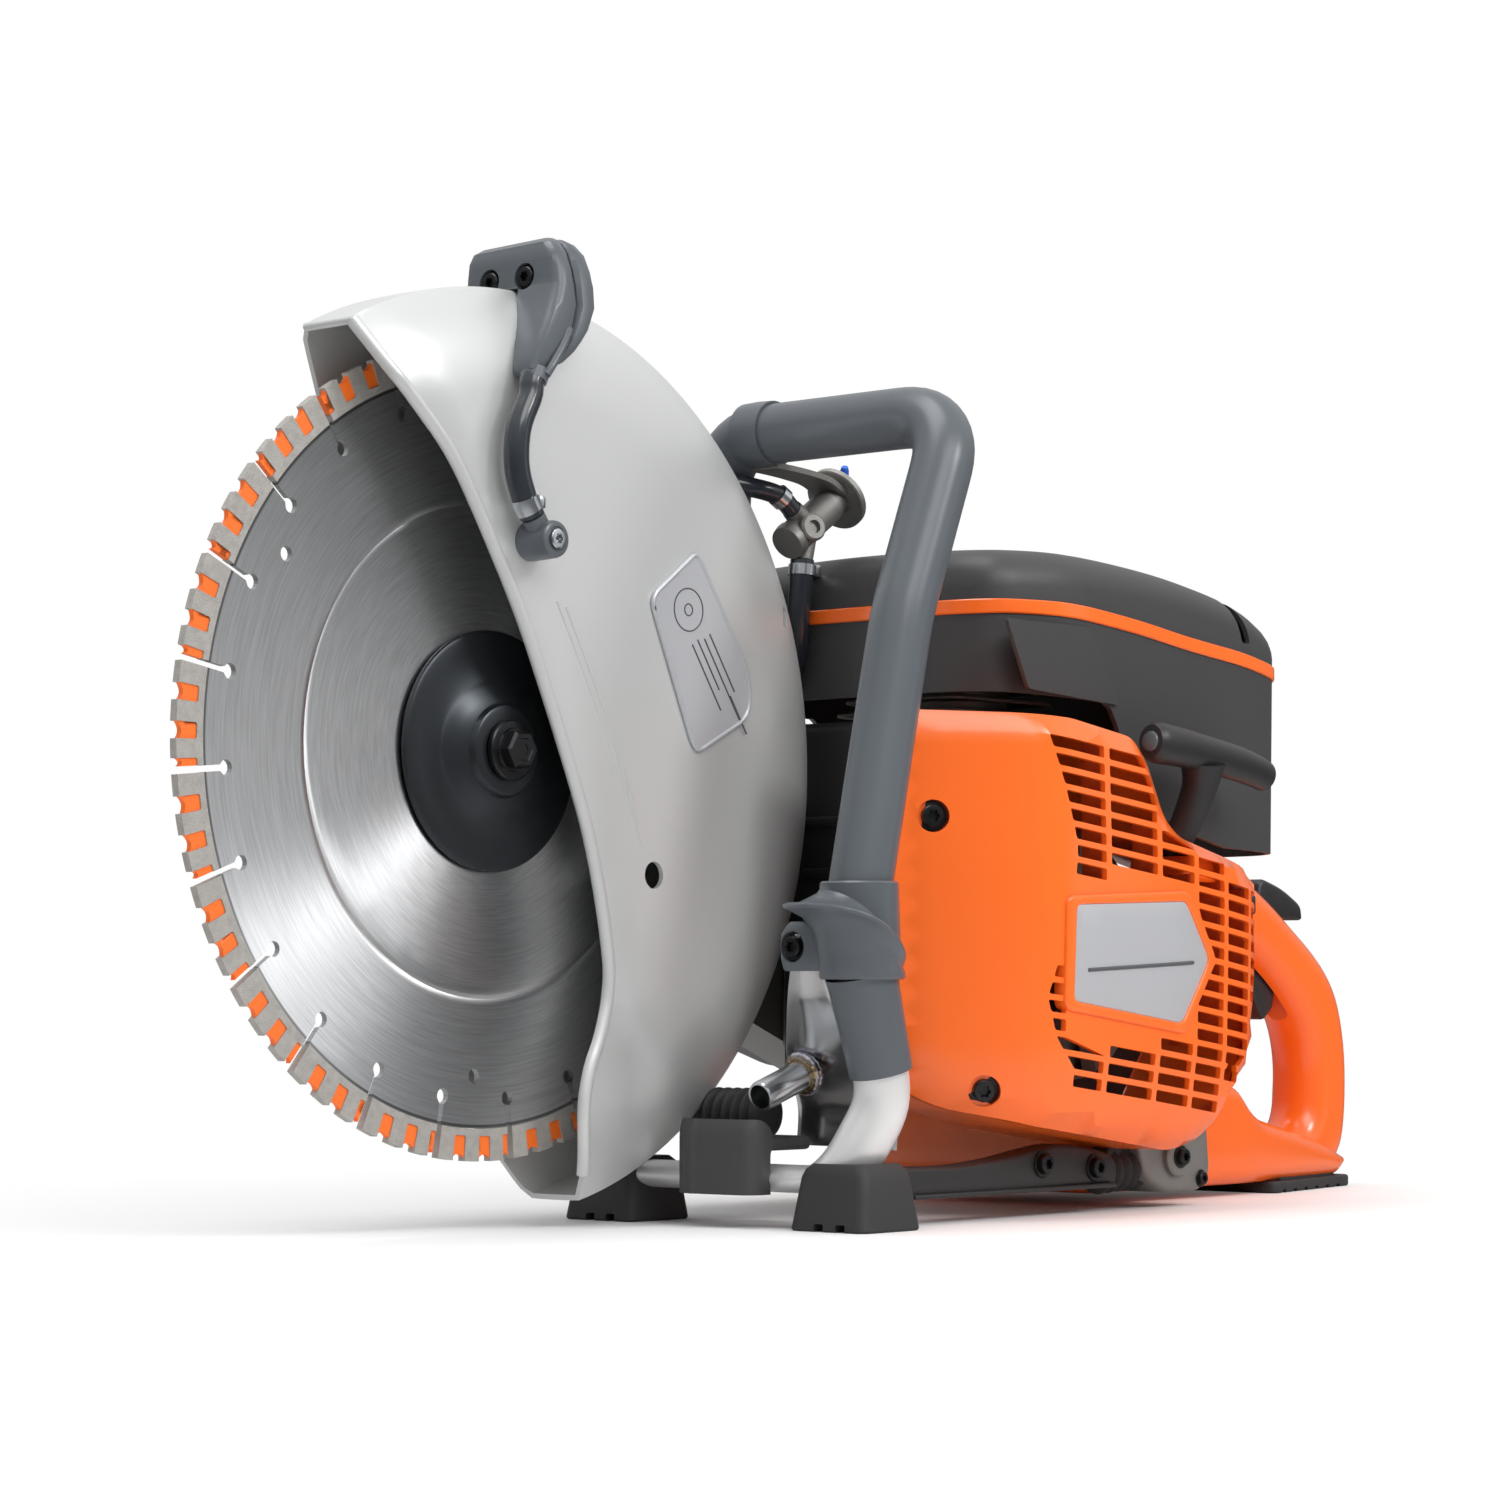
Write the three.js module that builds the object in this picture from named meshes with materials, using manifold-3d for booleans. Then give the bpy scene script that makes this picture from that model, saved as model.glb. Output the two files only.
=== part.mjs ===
// A petrol cut-off saw for concrete: a 350 mm diamond blade on a belt-driven arm, a tilting blade
// guard with spray hoses, a two-stroke engine with recoil starter, and a handle frame on rubber feet.
//
// Lengths are millimetres. Every piece is placed from the blade's axle: x runs rearwards, y runs to
// the operator's right and z runs up. The last lines move the whole saw so that its origin is at the
// bottom centre of its box. Pieces that meet keep a gap of at least 0.3 mm.
import * as THREE from "three";
import { mergeVertices } from "three/addons/utils/BufferGeometryUtils.js";
import Module from "manifold-3d";

const wasm = await Module();
wasm.setup();

// ---- driving dimensions -------------------------------------------------------------------------
const GAP = 0.4; // clearance between neighbours
const WALL = 3; // casing thickness
const BLADE_R = 175;
const AXLE_Z = 205; // height of the blade's axle above the ground
const GROUND = -AXLE_Z;
const SLOTS = 24; // cooling slots in the blade
const SLOT_IN_R = 148; // radius of each slot's round end
const GUARD_R = 198;
const GUARD_LEFT = -30; // outer face of the guard's left wall
const GUARD_RIGHT = 18;
const RIM_HALF = 14; // half width of the guard's rim
const LIP_DEG = 118; // front lip of the guard, from +x over the top
const TAIL_DEG = -73; // lower rear end of the guard
const CRANK = { x: 285, z: -86 }; // crankshaft axis
const DRIVEN_R = 40; // pulley on the blade's spindle
const DRIVE_R = 20; // pulley on the clutch drum
const ARM_Y = [24, 56];
const TUBE_R = 11.5; // steel handle tube
const GRIP_R = 14; // plastic grip over the tube
const HOSE_R = 4.6;
const LEG_Y = -118; // plane of the handle's left leg
const BAR = { x: 178, z: 155 }; // grip bar across the top
const CROSS = { x: 112, z: -185 }; // cross tube between the front feet
const SLANT = -0.14; // fall of the engine casing's lines per millimetre rearwards
const rad = THREE.MathUtils.degToRad;

// ---- solids -------------------------------------------------------------------------------------
/** A closed three.js geometry as a manifold-3d solid with its faces pointing out. */
function solid(geometry) {
  const bare = geometry.index ? geometry.toNonIndexed() : geometry.clone();
  for (const name of Object.keys(bare.attributes)) {
    if (name !== "position") bare.deleteAttribute(name);
  }
  const merged = mergeVertices(bare, 1e-3);
  const triVerts = new Uint32Array(merged.index.array);
  const vertProperties = merged.attributes.position.array;
  const made = new wasm.Manifold(new wasm.Mesh({ numProp: 3, vertProperties, triVerts }));
  if (made.volume() > 0) return made;
  for (let i = 0; i < triVerts.length; i += 3) {
    [triVerts[i + 1], triVerts[i + 2]] = [triVerts[i + 2], triVerts[i + 1]];
  }
  return new wasm.Manifold(new wasm.Mesh({ numProp: 3, vertProperties, triVerts }));
}

const join = (first, ...rest) => rest.reduce((a, b) => a.add(b), first);
const cut = (first, ...rest) => rest.reduce((a, b) => a.subtract(b), first);
const common = (first, ...rest) => rest.reduce((a, b) => a.intersect(b), first);

/** A box from its lowest corner to its highest corner. */
function block(low, high) {
  const size = high.map((value, i) => value - low[i]);
  const g = new THREE.BoxGeometry(...size);
  return solid(g.translate(...low.map((value, i) => value + size[i] / 2)));
}

/** A cylinder of radius r from point a to point b. */
function rod(a, b, r, sides = 20, rEnd = r) {
  const from = new THREE.Vector3(...a);
  const along = new THREE.Vector3(...b).sub(from);
  const g = new THREE.CylinderGeometry(rEnd, r, along.length(), sides);
  g.translate(0, along.length() / 2, 0);
  const turn = new THREE.Quaternion().setFromUnitVectors(
    new THREE.Vector3(0, 1, 0),
    along.clone().normalize(),
  );
  return solid(g.applyQuaternion(turn).translate(...a));
}

/** A disc or ring about the axle's direction, at x and z, between two y values. */
function wheel(r, y0, y1, x = 0, z = 0, bore = 0, sides = 40) {
  const disc = rod([x, y0, z], [x, y1, z], r, sides);
  return bore ? cut(disc, rod([x, y0 - 1, z], [x, y1 + 1, z], bore, Math.min(sides, 28))) : disc;
}

const shapeOf = (points) => new THREE.Shape(points.map(([a, b]) => new THREE.Vector2(a, b)));

/** An outline in x and z, extruded sideways from y0 to y1. */
function sidePlate(points, y0, y1) {
  const g = new THREE.ExtrudeGeometry(shapeOf(points), { depth: y1 - y0, bevelEnabled: false });
  return solid(g.rotateX(Math.PI / 2).translate(0, y1, 0));
}

/** An outline in x and y, extruded upwards from z0 to z1. */
function planPlate(points, z0, z1) {
  const g = new THREE.ExtrudeGeometry(shapeOf(points), { depth: z1 - z0, bevelEnabled: false });
  return solid(g.translate(0, 0, z0));
}

/** A solid of revolution about the axle's direction from [radius, y] points. */
function turned(profile, sides = 32, x = 0, z = 0) {
  const g = new THREE.LatheGeometry(profile.map(([r, y]) => new THREE.Vector2(r, y)), sides);
  return solid(g.translate(x, 0, z));
}

/** Points on an arc in degrees, about (cx, cz). */
function arc(r, from, to, count, cx = 0, cz = 0) {
  return Array.from({ length: count + 1 }, (_, i) => {
    const a = rad(from + ((to - from) * i) / count);
    return [cx + r * Math.cos(a), cz + r * Math.sin(a)];
  });
}

/** The outline around two circles of different size, as a belt runs, in x and z. */
function beltOutline(a, ra, b, rb, count) {
  const along = Math.atan2(b.z - a.z, b.x - a.x);
  const lean = Math.acos((ra - rb) / Math.hypot(b.x - a.x, b.z - a.z));
  const up = THREE.MathUtils.radToDeg(along + lean);
  const down = THREE.MathUtils.radToDeg(along - lean);
  return [
    ...arc(ra, up, down + 360, count, a.x, a.z),
    ...arc(rb, down, up, count, b.x, b.z),
  ];
}

/** A path of straight runs with rounded corners: each point is [x, y, z, bend radius]. */
function bentPath(points) {
  const path = new THREE.CurvePath();
  let at = new THREE.Vector3(...points[0].slice(0, 3));
  for (let i = 1; i < points.length - 1; i++) {
    const corner = new THREE.Vector3(...points[i].slice(0, 3));
    const next = new THREE.Vector3(...points[i + 1].slice(0, 3));
    const back = at.clone().sub(corner).normalize();
    const on = next.sub(corner).normalize();
    const reach = points[i][3] * Math.tan((Math.PI - back.angleTo(on)) / 2);
    const start = corner.clone().addScaledVector(back, reach);
    const end = corner.clone().addScaledVector(on, reach);
    path.add(new THREE.LineCurve3(at, start));
    path.add(new THREE.QuadraticBezierCurve3(start, corner, end));
    at = end;
  }
  path.add(new THREE.LineCurve3(at, new THREE.Vector3(...points.at(-1).slice(0, 3))));
  return path;
}

/** A round bar, or a sleeve if bore is given, that follows a path. */
function swept(path, r, steps, sides = 10, bore = 0) {
  const section = shapeOf(arc(r, 0, 360, sides).slice(0, sides));
  if (bore) section.holes.push(shapeOf(arc(bore, 0, 360, sides).slice(0, sides).reverse()));
  return solid(new THREE.ExtrudeGeometry(section, { steps, extrudePath: path, curveSegments: 1 }));
}

// ---- materials ----------------------------------------------------------------------------------
function finish(color, roughness, metalness) {
  return new THREE.MeshStandardMaterial({ color, roughness, metalness });
}
const MATERIALS = {
  orange: finish(0xe8591c, 0.35, 0),
  charcoal: finish(0x3b3b3c, 0.55, 0),
  greyPlastic: finish(0x56595c, 0.45, 0),
  rubber: finish(0x2b2b2b, 0.85, 0),
  hose: finish(0x33373b, 0.4, 0),
  bluePlastic: finish(0x2f5fb0, 0.45, 0),
  castSilver: finish(0xb4b5b3, 0.4, 0.6),
  castGrey: finish(0x7d7c78, 0.55, 0.7),
  steel: finish(0xb9bcbe, 0.3, 0.9),
  blackSteel: finish(0x26282a, 0.4, 0.6),
};

const saw = new THREE.Group();
saw.name = "cut_off_saw";

function assembly(name) {
  const group = new THREE.Group();
  group.name = name;
  saw.add(group);
  return group;
}

/** Adds a solid to a group as a named mesh. */
function place(group, name, shape, material) {
  const { vertProperties, numProp, numVert, triVerts } = shape.getMesh();
  const position = new Float32Array(numVert * 3);
  for (let i = 0; i < numVert; i++) {
    position.set(vertProperties.subarray(i * numProp, i * numProp + 3), i * 3);
  }
  const g = new THREE.BufferGeometry();
  g.setAttribute("position", new THREE.BufferAttribute(position, 3));
  g.setIndex(new THREE.BufferAttribute(triVerts, 1));
  const flat = g.toNonIndexed();
  flat.computeVertexNormals();
  const mesh = new THREE.Mesh(flat, material);
  mesh.name = name;
  group.add(mesh);
}

// ---- blade and spindle --------------------------------------------------------------------------
const BLADE_HALF = 1.5;
const SPINDLE_R = 12.4;
const BORE_R = SPINDLE_R + GAP;
const FLANGE_R = 52;

/** The steel disc with its rim of segments, parted by narrow slots with round ends. */
function bladeDisc() {
  const slotHalf = 1.5;
  const outline = [];
  for (let i = 0; i < SLOTS; i++) {
    const a = (360 / SLOTS) * i + 4;
    const turn = new THREE.Vector2(Math.cos(rad(a)), Math.sin(rad(a)));
    const spot = (u, w) => [turn.x * u - turn.y * w, turn.y * u + turn.x * w];
    outline.push(spot(BLADE_R, -slotHalf), spot(SLOT_IN_R + 3, -slotHalf));
    outline.push(spot(SLOT_IN_R, -3), spot(SLOT_IN_R - 3, 0), spot(SLOT_IN_R, 3));
    outline.push(spot(SLOT_IN_R + 3, slotHalf), spot(BLADE_R, slotHalf));
    outline.push(...arc(BLADE_R, a + 3.75, a + 11.25, 2));
  }
  return cut(
    sidePlate(outline, -BLADE_HALF, BLADE_HALF),
    wheel(BORE_R, -5, 5, 0, 0, 0, 28),
  );
}

const blade = assembly("blade_and_spindle");
const FACE = BLADE_HALF + GAP; // where the flanges start
place(blade, "blade_disc", bladeDisc(), MATERIALS.steel);
place(
  blade,
  "outer_flange",
  turned([
    [BORE_R, -FACE], [FLANGE_R, -FACE], [FLANGE_R, -4.5], [38, -6], [26, -9],
    [19, -10], [18, -14], [BORE_R, -14], [BORE_R, -FACE],
  ]),
  MATERIALS.blackSteel,
);
place(
  blade,
  "inner_flange",
  turned([[BORE_R, FACE], [FLANGE_R, FACE], [FLANGE_R, 5], [24, 9], [BORE_R, 9], [BORE_R, FACE]]),
  MATERIALS.blackSteel,
);
const SPINDLE_Y = [-13, 75];
place(
  blade,
  "blade_spindle",
  cut(
    wheel(SPINDLE_R, ...SPINDLE_Y, 0, 0, 0, 28),
    wheel(4.6, SPINDLE_Y[0] - 1, 14, 0, 0, 0, 12),
  ),
  MATERIALS.steel,
);
place(
  blade,
  "arbor_bolt",
  join(
    wheel(4.2, -15, 12, 0, 0, 0, 12),
    wheel(13, -17.5, -14 - GAP, 0, 0, 0, 28),
    wheel(8.5, -24, -17, 0, 0, 0, 6),
  ),
  MATERIALS.blackSteel,
);
const BELT_Y = [59, 71];
place(
  blade,
  "driven_pulley",
  turned([
    [BORE_R, 57.5], [DRIVEN_R + 3, 57.5], [DRIVEN_R + 3, 58.5], [DRIVEN_R, 58.7],
    [DRIVEN_R, 71.3], [DRIVEN_R + 3, 71.5], [DRIVEN_R + 3, 72.5], [BORE_R, 72.5], [BORE_R, 57.5],
  ]),
  MATERIALS.castGrey,
);

// ---- blade guard --------------------------------------------------------------------------------
const SHOULDER_R = 157; // where the guard's flat left wall starts to round towards the rim
const HUB_HOLE_R = 36;

/** The guard's cross-section turned right round: left wall, shoulder, rim and right wall. */
function guardBody() {
  const inner = GUARD_LEFT + WALL;
  return turned(
    [
      [0, GUARD_LEFT], [SHOULDER_R, GUARD_LEFT], [174, -28], [186, -24], [194, -19],
      [GUARD_R, -RIM_HALF + 2], [GUARD_R, RIM_HALF], [GUARD_R - 4, GUARD_RIGHT],
      [HUB_HOLE_R, GUARD_RIGHT], [HUB_HOLE_R, GUARD_RIGHT - WALL],
      [GUARD_R - 5, GUARD_RIGHT - WALL], [GUARD_R - WALL, RIM_HALF - 2],
      [GUARD_R - WALL, -RIM_HALF + 2], [190, -18], [183, -22], [172, -25.5],
      [SHOULDER_R, inner], [0, inner],
    ],
    56,
  );
}

// Front edge of the left wall, from the lip down to the tail.
const LEFT_EDGE = [
  [-93, 174], [-84, 158], [-66, 141], [-46, 121], [-30, 97], [-9, 61], [8, 27], [24, -8],
  [36, -38], [45, -70], [50, -100], [46, -119], [38, -138], [35, -152], [38, -170], [45, -195],
];
// Front edge of the right wall, hidden behind the blade.
const RIGHT_EDGE = [
  [-93, 174], [-83, 146], [-62, 90], [-56, 30], [-56, -40], [-30, -110], [20, -165],
];

function guardShell() {
  const outside = arc(GUARD_R + 20, TAIL_DEG, LIP_DEG, 24);
  const leftHalf = sidePlate([...LEFT_EDGE, ...outside], GUARD_LEFT - 5, -RIM_HALF);
  const rightHalf = sidePlate([...RIGHT_EDGE, ...outside], -RIM_HALF, GUARD_RIGHT + 5);
  const sightHole = wheel(6, GUARD_LEFT - 5, -20, 75, -52, 0, 16);
  const rimSlot = block([170, GUARD_LEFT, 64], [175, -18, 77]);
  return cut(common(guardBody(), join(leftHalf, rightHalf)), sightHole, rimSlot);
}

const guard = assembly("blade_guard");
place(guard, "guard_shell", guardShell(), MATERIALS.castSilver);

/** Thin plate that carries the blade data, its corners cut round. */
function dataPlate() {
  const outline = [
    [74, 70], [99, 90], [103, 89], [135, 42], [137, 23], [134, 18], [105, 4], [100, 5], [71, 66],
  ];
  return sidePlate(outline, GUARD_LEFT - 1.4, GUARD_LEFT - GAP);
}
place(guard, "data_plate", dataPlate(), MATERIALS.castSilver);

const CLAMP = { y0: -44, y1: 17, z0: GUARD_R + 1, z1: 221, xSplit: 14 };
const SCREW_Y = [2, -19];
const SCREW_Z = 207;
/** Half of the clamp that straddles the rim, with a leg down the left side for the spray hose. */
function clampHalf(x0, x1, leg) {
  const top = sidePlate(
    [[x0, CLAMP.z0], [x1, CLAMP.z0], [x1, CLAMP.z1 - 4], [x1 - 3, CLAMP.z1], [x0, CLAMP.z1]],
    CLAMP.y0,
    CLAMP.y1,
  );
  const side = sidePlate(leg, CLAMP.y0, -31 - GAP);
  const holes = SCREW_Y.map((y) => rod([-20, y, SCREW_Z], [40, y, SCREW_Z], 3, 12));
  return cut(join(top, side), ...holes);
}
const LEG_FRONT = [[2, 201], [-3, 186], [-16, 164], [-2, 158], [13.8, 180], [13.8, 201]];
const LEG_REAR = [[14.2, 201], [14.2, 180.5], [20, 180], [26, 192], [26, 201]];
place(
  guard,
  "guard_handle_front",
  clampHalf(2, CLAMP.xSplit - GAP / 2, LEG_FRONT),
  MATERIALS.greyPlastic,
);
place(
  guard,
  "guard_handle_rear",
  join(
    clampHalf(CLAMP.xSplit + GAP / 2, 26, LEG_REAR),
    rod([20, CLAMP.y1 - 1, 208], [20, CLAMP.y1 + 13, 208], HOSE_R, 16),
  ),
  MATERIALS.greyPlastic,
);
SCREW_Y.forEach((y, i) => {
  const screw = join(
    rod([1 - GAP, y, SCREW_Z], [24, y, SCREW_Z], 2.6, 10),
    rod([-3, y, SCREW_Z], [2 - GAP, y, SCREW_Z], 5, 14),
  );
  place(guard, `guard_handle_screw_${i + 1}`, screw, MATERIALS.blackSteel);
});

// Each spray hose leaves the clamp and curves down to its nozzle.
const HOSE_DROP = [[-19, 148], [-26, 131], [-25, 114], [-19, 104]];
function sprayHose(y, start) {
  const run = [...start, ...HOSE_DROP.map(([x, z]) => [x, y, z])];
  const line = new THREE.CatmullRomCurve3(run.map((p) => new THREE.Vector3(...p)));
  return swept(line, HOSE_R, 14, 8);
}
/** Banjo nozzle that stands on the guard's wall and turns up into its hose. */
function sprayNozzle(yWall, yTip, yHose) {
  return join(
    rod([-7, yWall, 88], [-7, yTip, 88], 8, 20),
    rod([-8, yHose, 89], [-17, yHose, 101], 4, 10),
  );
}
const LEFT_START = [[-9.5, -39, 158]];
const RIGHT_START = [[8, CLAMP.y1 + 1, 208], [8, 25, 207], [5, 27, 190]];
place(guard, "spray_nozzle_left", sprayNozzle(GUARD_LEFT - GAP, -47, -39), MATERIALS.rubber);
place(guard, "spray_hose_left", sprayHose(-39, LEFT_START), MATERIALS.hose);
place(guard, "spray_nozzle_right", sprayNozzle(GUARD_RIGHT + GAP, 32, 27), MATERIALS.rubber);
place(guard, "spray_hose_right", sprayHose(27, RIGHT_START), MATERIALS.hose);

// ---- cutting arm, bearings, belt and its cover --------------------------------------------------
const drive = assembly("belt_drive");
const AXLE = { x: 0, z: 0 };
const ARM_END_R = 60;
const BEARING_R = 23.5;
const CLUTCH_HOLE_R = 43;

function cuttingArm() {
  const body = sidePlate(beltOutline(AXLE, 33, CRANK, ARM_END_R, 14), ...ARM_Y);
  const boss = wheel(33, 11, ARM_Y[0] + 1);
  const window = sidePlate(beltOutline({ x: 75, z: -22 }, 13, { x: 190, z: -57 }, 20, 8), 34, 60);
  return cut(
    join(body, boss),
    wheel(BEARING_R + GAP, 5, 60),
    wheel(CLUTCH_HOLE_R, 10, 60, CRANK.x, CRANK.z),
    window,
  );
}
place(drive, "cutting_arm", cuttingArm(), MATERIALS.castGrey);
for (const [name, y] of [["spindle_bearing_left", 12], ["spindle_bearing_right", 44]]) {
  place(drive, name, wheel(BEARING_R, y, y + 12, 0, 0, BORE_R, 28), MATERIALS.steel);
}

function beltLoop() {
  const thick = 4.2;
  const outer = beltOutline(AXLE, DRIVEN_R + thick, CRANK, DRIVE_R + thick, 14);
  const inner = beltOutline(AXLE, DRIVEN_R + GAP, CRANK, DRIVE_R + GAP, 14);
  return cut(sidePlate(outer, ...BELT_Y), sidePlate(inner, BELT_Y[0] - 1, BELT_Y[1] + 1));
}
place(drive, "drive_belt", beltLoop(), MATERIALS.rubber);

const COVER_Y = [ARM_Y[1] + GAP, 82];
function beltCover() {
  const outer = sidePlate(beltOutline(AXLE, 52, CRANK, 54, 14), ...COVER_Y);
  const inner = sidePlate(beltOutline(AXLE, 49, CRANK, 51, 14), 40, COVER_Y[1] - WALL);
  return cut(outer, inner);
}
place(drive, "belt_cover", beltCover(), MATERIALS.charcoal);

const clutch = assembly("clutch");
place(
  clutch,
  "clutch_drum",
  turned(
    [
      [8, 54], [37, 54], [37, 38], [40, 38], [40, 57], [DRIVE_R + 3, 57], [DRIVE_R + 3, 58.3],
      [DRIVE_R, 58.6], [DRIVE_R, 71.4], [DRIVE_R + 3, 71.7], [DRIVE_R + 3, 74], [8, 74], [8, 54],
    ],
    32,
    CRANK.x,
    CRANK.z,
  ),
  MATERIALS.steel,
);

// ---- engine -------------------------------------------------------------------------------------
const engine = assembly("engine");
const CASE_Y = [-78, 23];
const CYLINDER = { x: CRANK.x, y: -29, bore: 25.5 };
const CRANK_ROOM = 38; // radius of the chamber that the crank webs turn in

function crankcase() {
  const outline = [
    [226, -40], [238, -28], [332, -28], [346, -44], [350, -120], [330, -146], [238, -146],
    [224, -128],
  ];
  return cut(
    sidePlate(outline, ...CASE_Y),
    wheel(12, CASE_Y[0] - 1, CASE_Y[1] + 1, CRANK.x, CRANK.z, 0, 20),
    wheel(CRANK_ROOM, CYLINDER.y - 19, CYLINDER.y + 19, CRANK.x, CRANK.z, 0, 32),
    rod([CYLINDER.x, CYLINDER.y, CRANK.z], [CYLINDER.x, CYLINDER.y, 0], CYLINDER.bore, 28),
  );
}
place(engine, "crankcase", crankcase(), MATERIALS.castGrey);

/** The cylinder: a bored barrel with square cooling fins, a plug hole and an exhaust port. */
function cylinderBarrel() {
  const foot = -28 + GAP;
  const fins = Array.from({ length: 7 }, (_, i) => {
    const z = -22 + i * 11;
    return planPlate([[242, -68], [328, -68], [328, 10], [242, 10]], z, z + 3);
  });
  const barrel = rod([CYLINDER.x, CYLINDER.y, foot], [CYLINDER.x, CYLINDER.y, 54], 31, 28);
  const bore = rod([CYLINDER.x, CYLINDER.y, foot - 1], [CYLINDER.x, CYLINDER.y, 46], CYLINDER.bore, 28);
  const plugHole = rod([CYLINDER.x, CYLINDER.y, 40], [CYLINDER.x, CYLINDER.y, 60], 7, 14);
  const port = block([230, CYLINDER.y - 12, -12], [CYLINDER.x, CYLINDER.y + 12, -4]);
  return cut(join(barrel, ...fins), bore, plugHole, port);
}
place(engine, "cylinder", cylinderBarrel(), MATERIALS.castGrey);

function muffler() {
  const upper = block([212, -80, -24], [229, 12, 22]);
  const lower = block([212, -78, -148], [222, 14, -23]);
  return join(upper, lower);
}
place(engine, "muffler", muffler(), MATERIALS.blackSteel);
place(
  engine,
  "carburettor",
  join(
    block([331, -52, -20], [372, -8, 22]),
    rod([372, -30, 2], [380, -30, 2], 16, 20),
  ),
  MATERIALS.castGrey,
);
place(
  engine,
  "air_filter",
  join(block([384, -86, -20], [446, 28, 62]), rod([381, -30, 2], [385, -30, 2], 18, 20)),
  MATERIALS.charcoal,
);
place(
  engine,
  "spark_plug_cap",
  cut(
    join(rod([284, -29, 54 + GAP], [284, -29, 76], 11, 18), rod([284, -29, 68], [318, -29, 68], 6, 12)),
    rod([284, -29, 50], [284, -29, 70], 6.5, 12),
  ),
  MATERIALS.rubber,
);

// Plan view of the top cover, and its side view.
const COVER_PLAN = [
  [213, 60], [213, -88], [219, -103], [234, -114], [258, -119], [405, -119], [436, -114],
  [452, -98], [458, -70], [458, 36], [448, 56], [430, 60],
];
const COVER_SIDE = [
  [213, 33], [292, 31], [302, 8], [322, -17], [350, -27], [388, -34], [470, -36], [470, 30],
  [464, 52], [448, 72], [420, 85], [370, 95], [300, 101], [222, 101], [213, 94],
];
const grown = (points, by, centre) =>
  points.map(([x, y]) => [x + Math.sign(x - centre[0]) * by, y + Math.sign(y - centre[1]) * by]);

function topCover() {
  const outer = common(planPlate(COVER_PLAN, -60, 110), sidePlate(COVER_SIDE, -130, 70));
  const inner = common(
    planPlate(grown(COVER_PLAN, -WALL, [335, -30]), -60, 110),
    sidePlate(
      [
        [216, -70], [467, -70], [467, 30], [461, 50], [446, 69], [419, 81.5], [370, 91.5],
        [300, 97.5], [224, 97.5], [216, 92],
      ],
      -116,
      57,
    ),
  );
  const louvre = block([418, -130, 68], [424, -100, 98]);
  return cut(outer, inner, louvre);
}
place(engine, "top_cover", topCover(), MATERIALS.charcoal);

/** The bright band round the top cover, a strip that falls towards the rear. */
function trimBand() {
  const outer = planPlate(grown(COVER_PLAN, 1.6, [335, -30]), 30, 100);
  const inner = planPlate(grown(COVER_PLAN, GAP, [335, -30]), 20, 110);
  const slab = sidePlate(
    [[200, 71], [270, 67], [357, 58], [470, 48], [470, 54.5], [357, 64.5], [270, 73.5], [200, 77.5]],
    -140,
    80,
  );
  return common(cut(outer, inner), slab);
}
place(engine, "trim_band", trimBand(), MATERIALS.orange);

// Starter cover: side view and plan view.
const STARTER_SIDE = [
  [158, 24], [204, 23], [274, 14], [296, -22], [330, -37], [393, -50], [386, -88], [371, -131],
  [354, -152], [340, -171], [316, -176], [216, -162], [178, -153], [163, -142], [158, -125],
];
const STARTER_PLAN = [
  [158, -84], [158, -92], [206, -138], [216, -143], [300, -150], [352, -148], [380, -136],
  [393, -118], [393, -84],
];

/** A slanting window through the starter cover's grille. */
function grilleWindow(x0, x1, z) {
  const low = (x) => z + SLANT * (x - 300);
  return sidePlate([[x0, low(x0)], [x1, low(x1)], [x1, low(x1) + 7], [x0, low(x0) + 7]], -160, -120);
}

function starterCover() {
  const outer = common(sidePlate(STARTER_SIDE, -160, -84), planPlate(STARTER_PLAN, -190, 40));
  const hollow = common(
    sidePlate(
      [
        [162, 20], [204, 19], [271, 10], [293, -26], [328, -41], [388, -53], [382, -88],
        [367, -130], [350, -150], [337, -167], [316, -172], [216, -158], [178, -149],
        [166, -139], [162, -125],
      ],
      -160,
      -80,
    ),
    planPlate(
      [
        [162, -80], [162, -92], [208, -134.5], [217, -139.5], [300, -146.5], [351, -144.5],
        [377, -133], [389, -117], [389, -80],
      ],
      -190,
      40,
    ),
  );
  const windows = [
    ...[8, -4, -16, -28, -40].map((z) => grilleWindow(224, 282, z)),
    ...[-76, -88, -100, -112].map((z) => grilleWindow(330, 372, z)),
    ...[-126, -138].map((z) => grilleWindow(232, 345, z)),
  ];
  return cut(outer, hollow, ...windows);
}
place(engine, "starter_cover", starterCover(), MATERIALS.orange);

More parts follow.
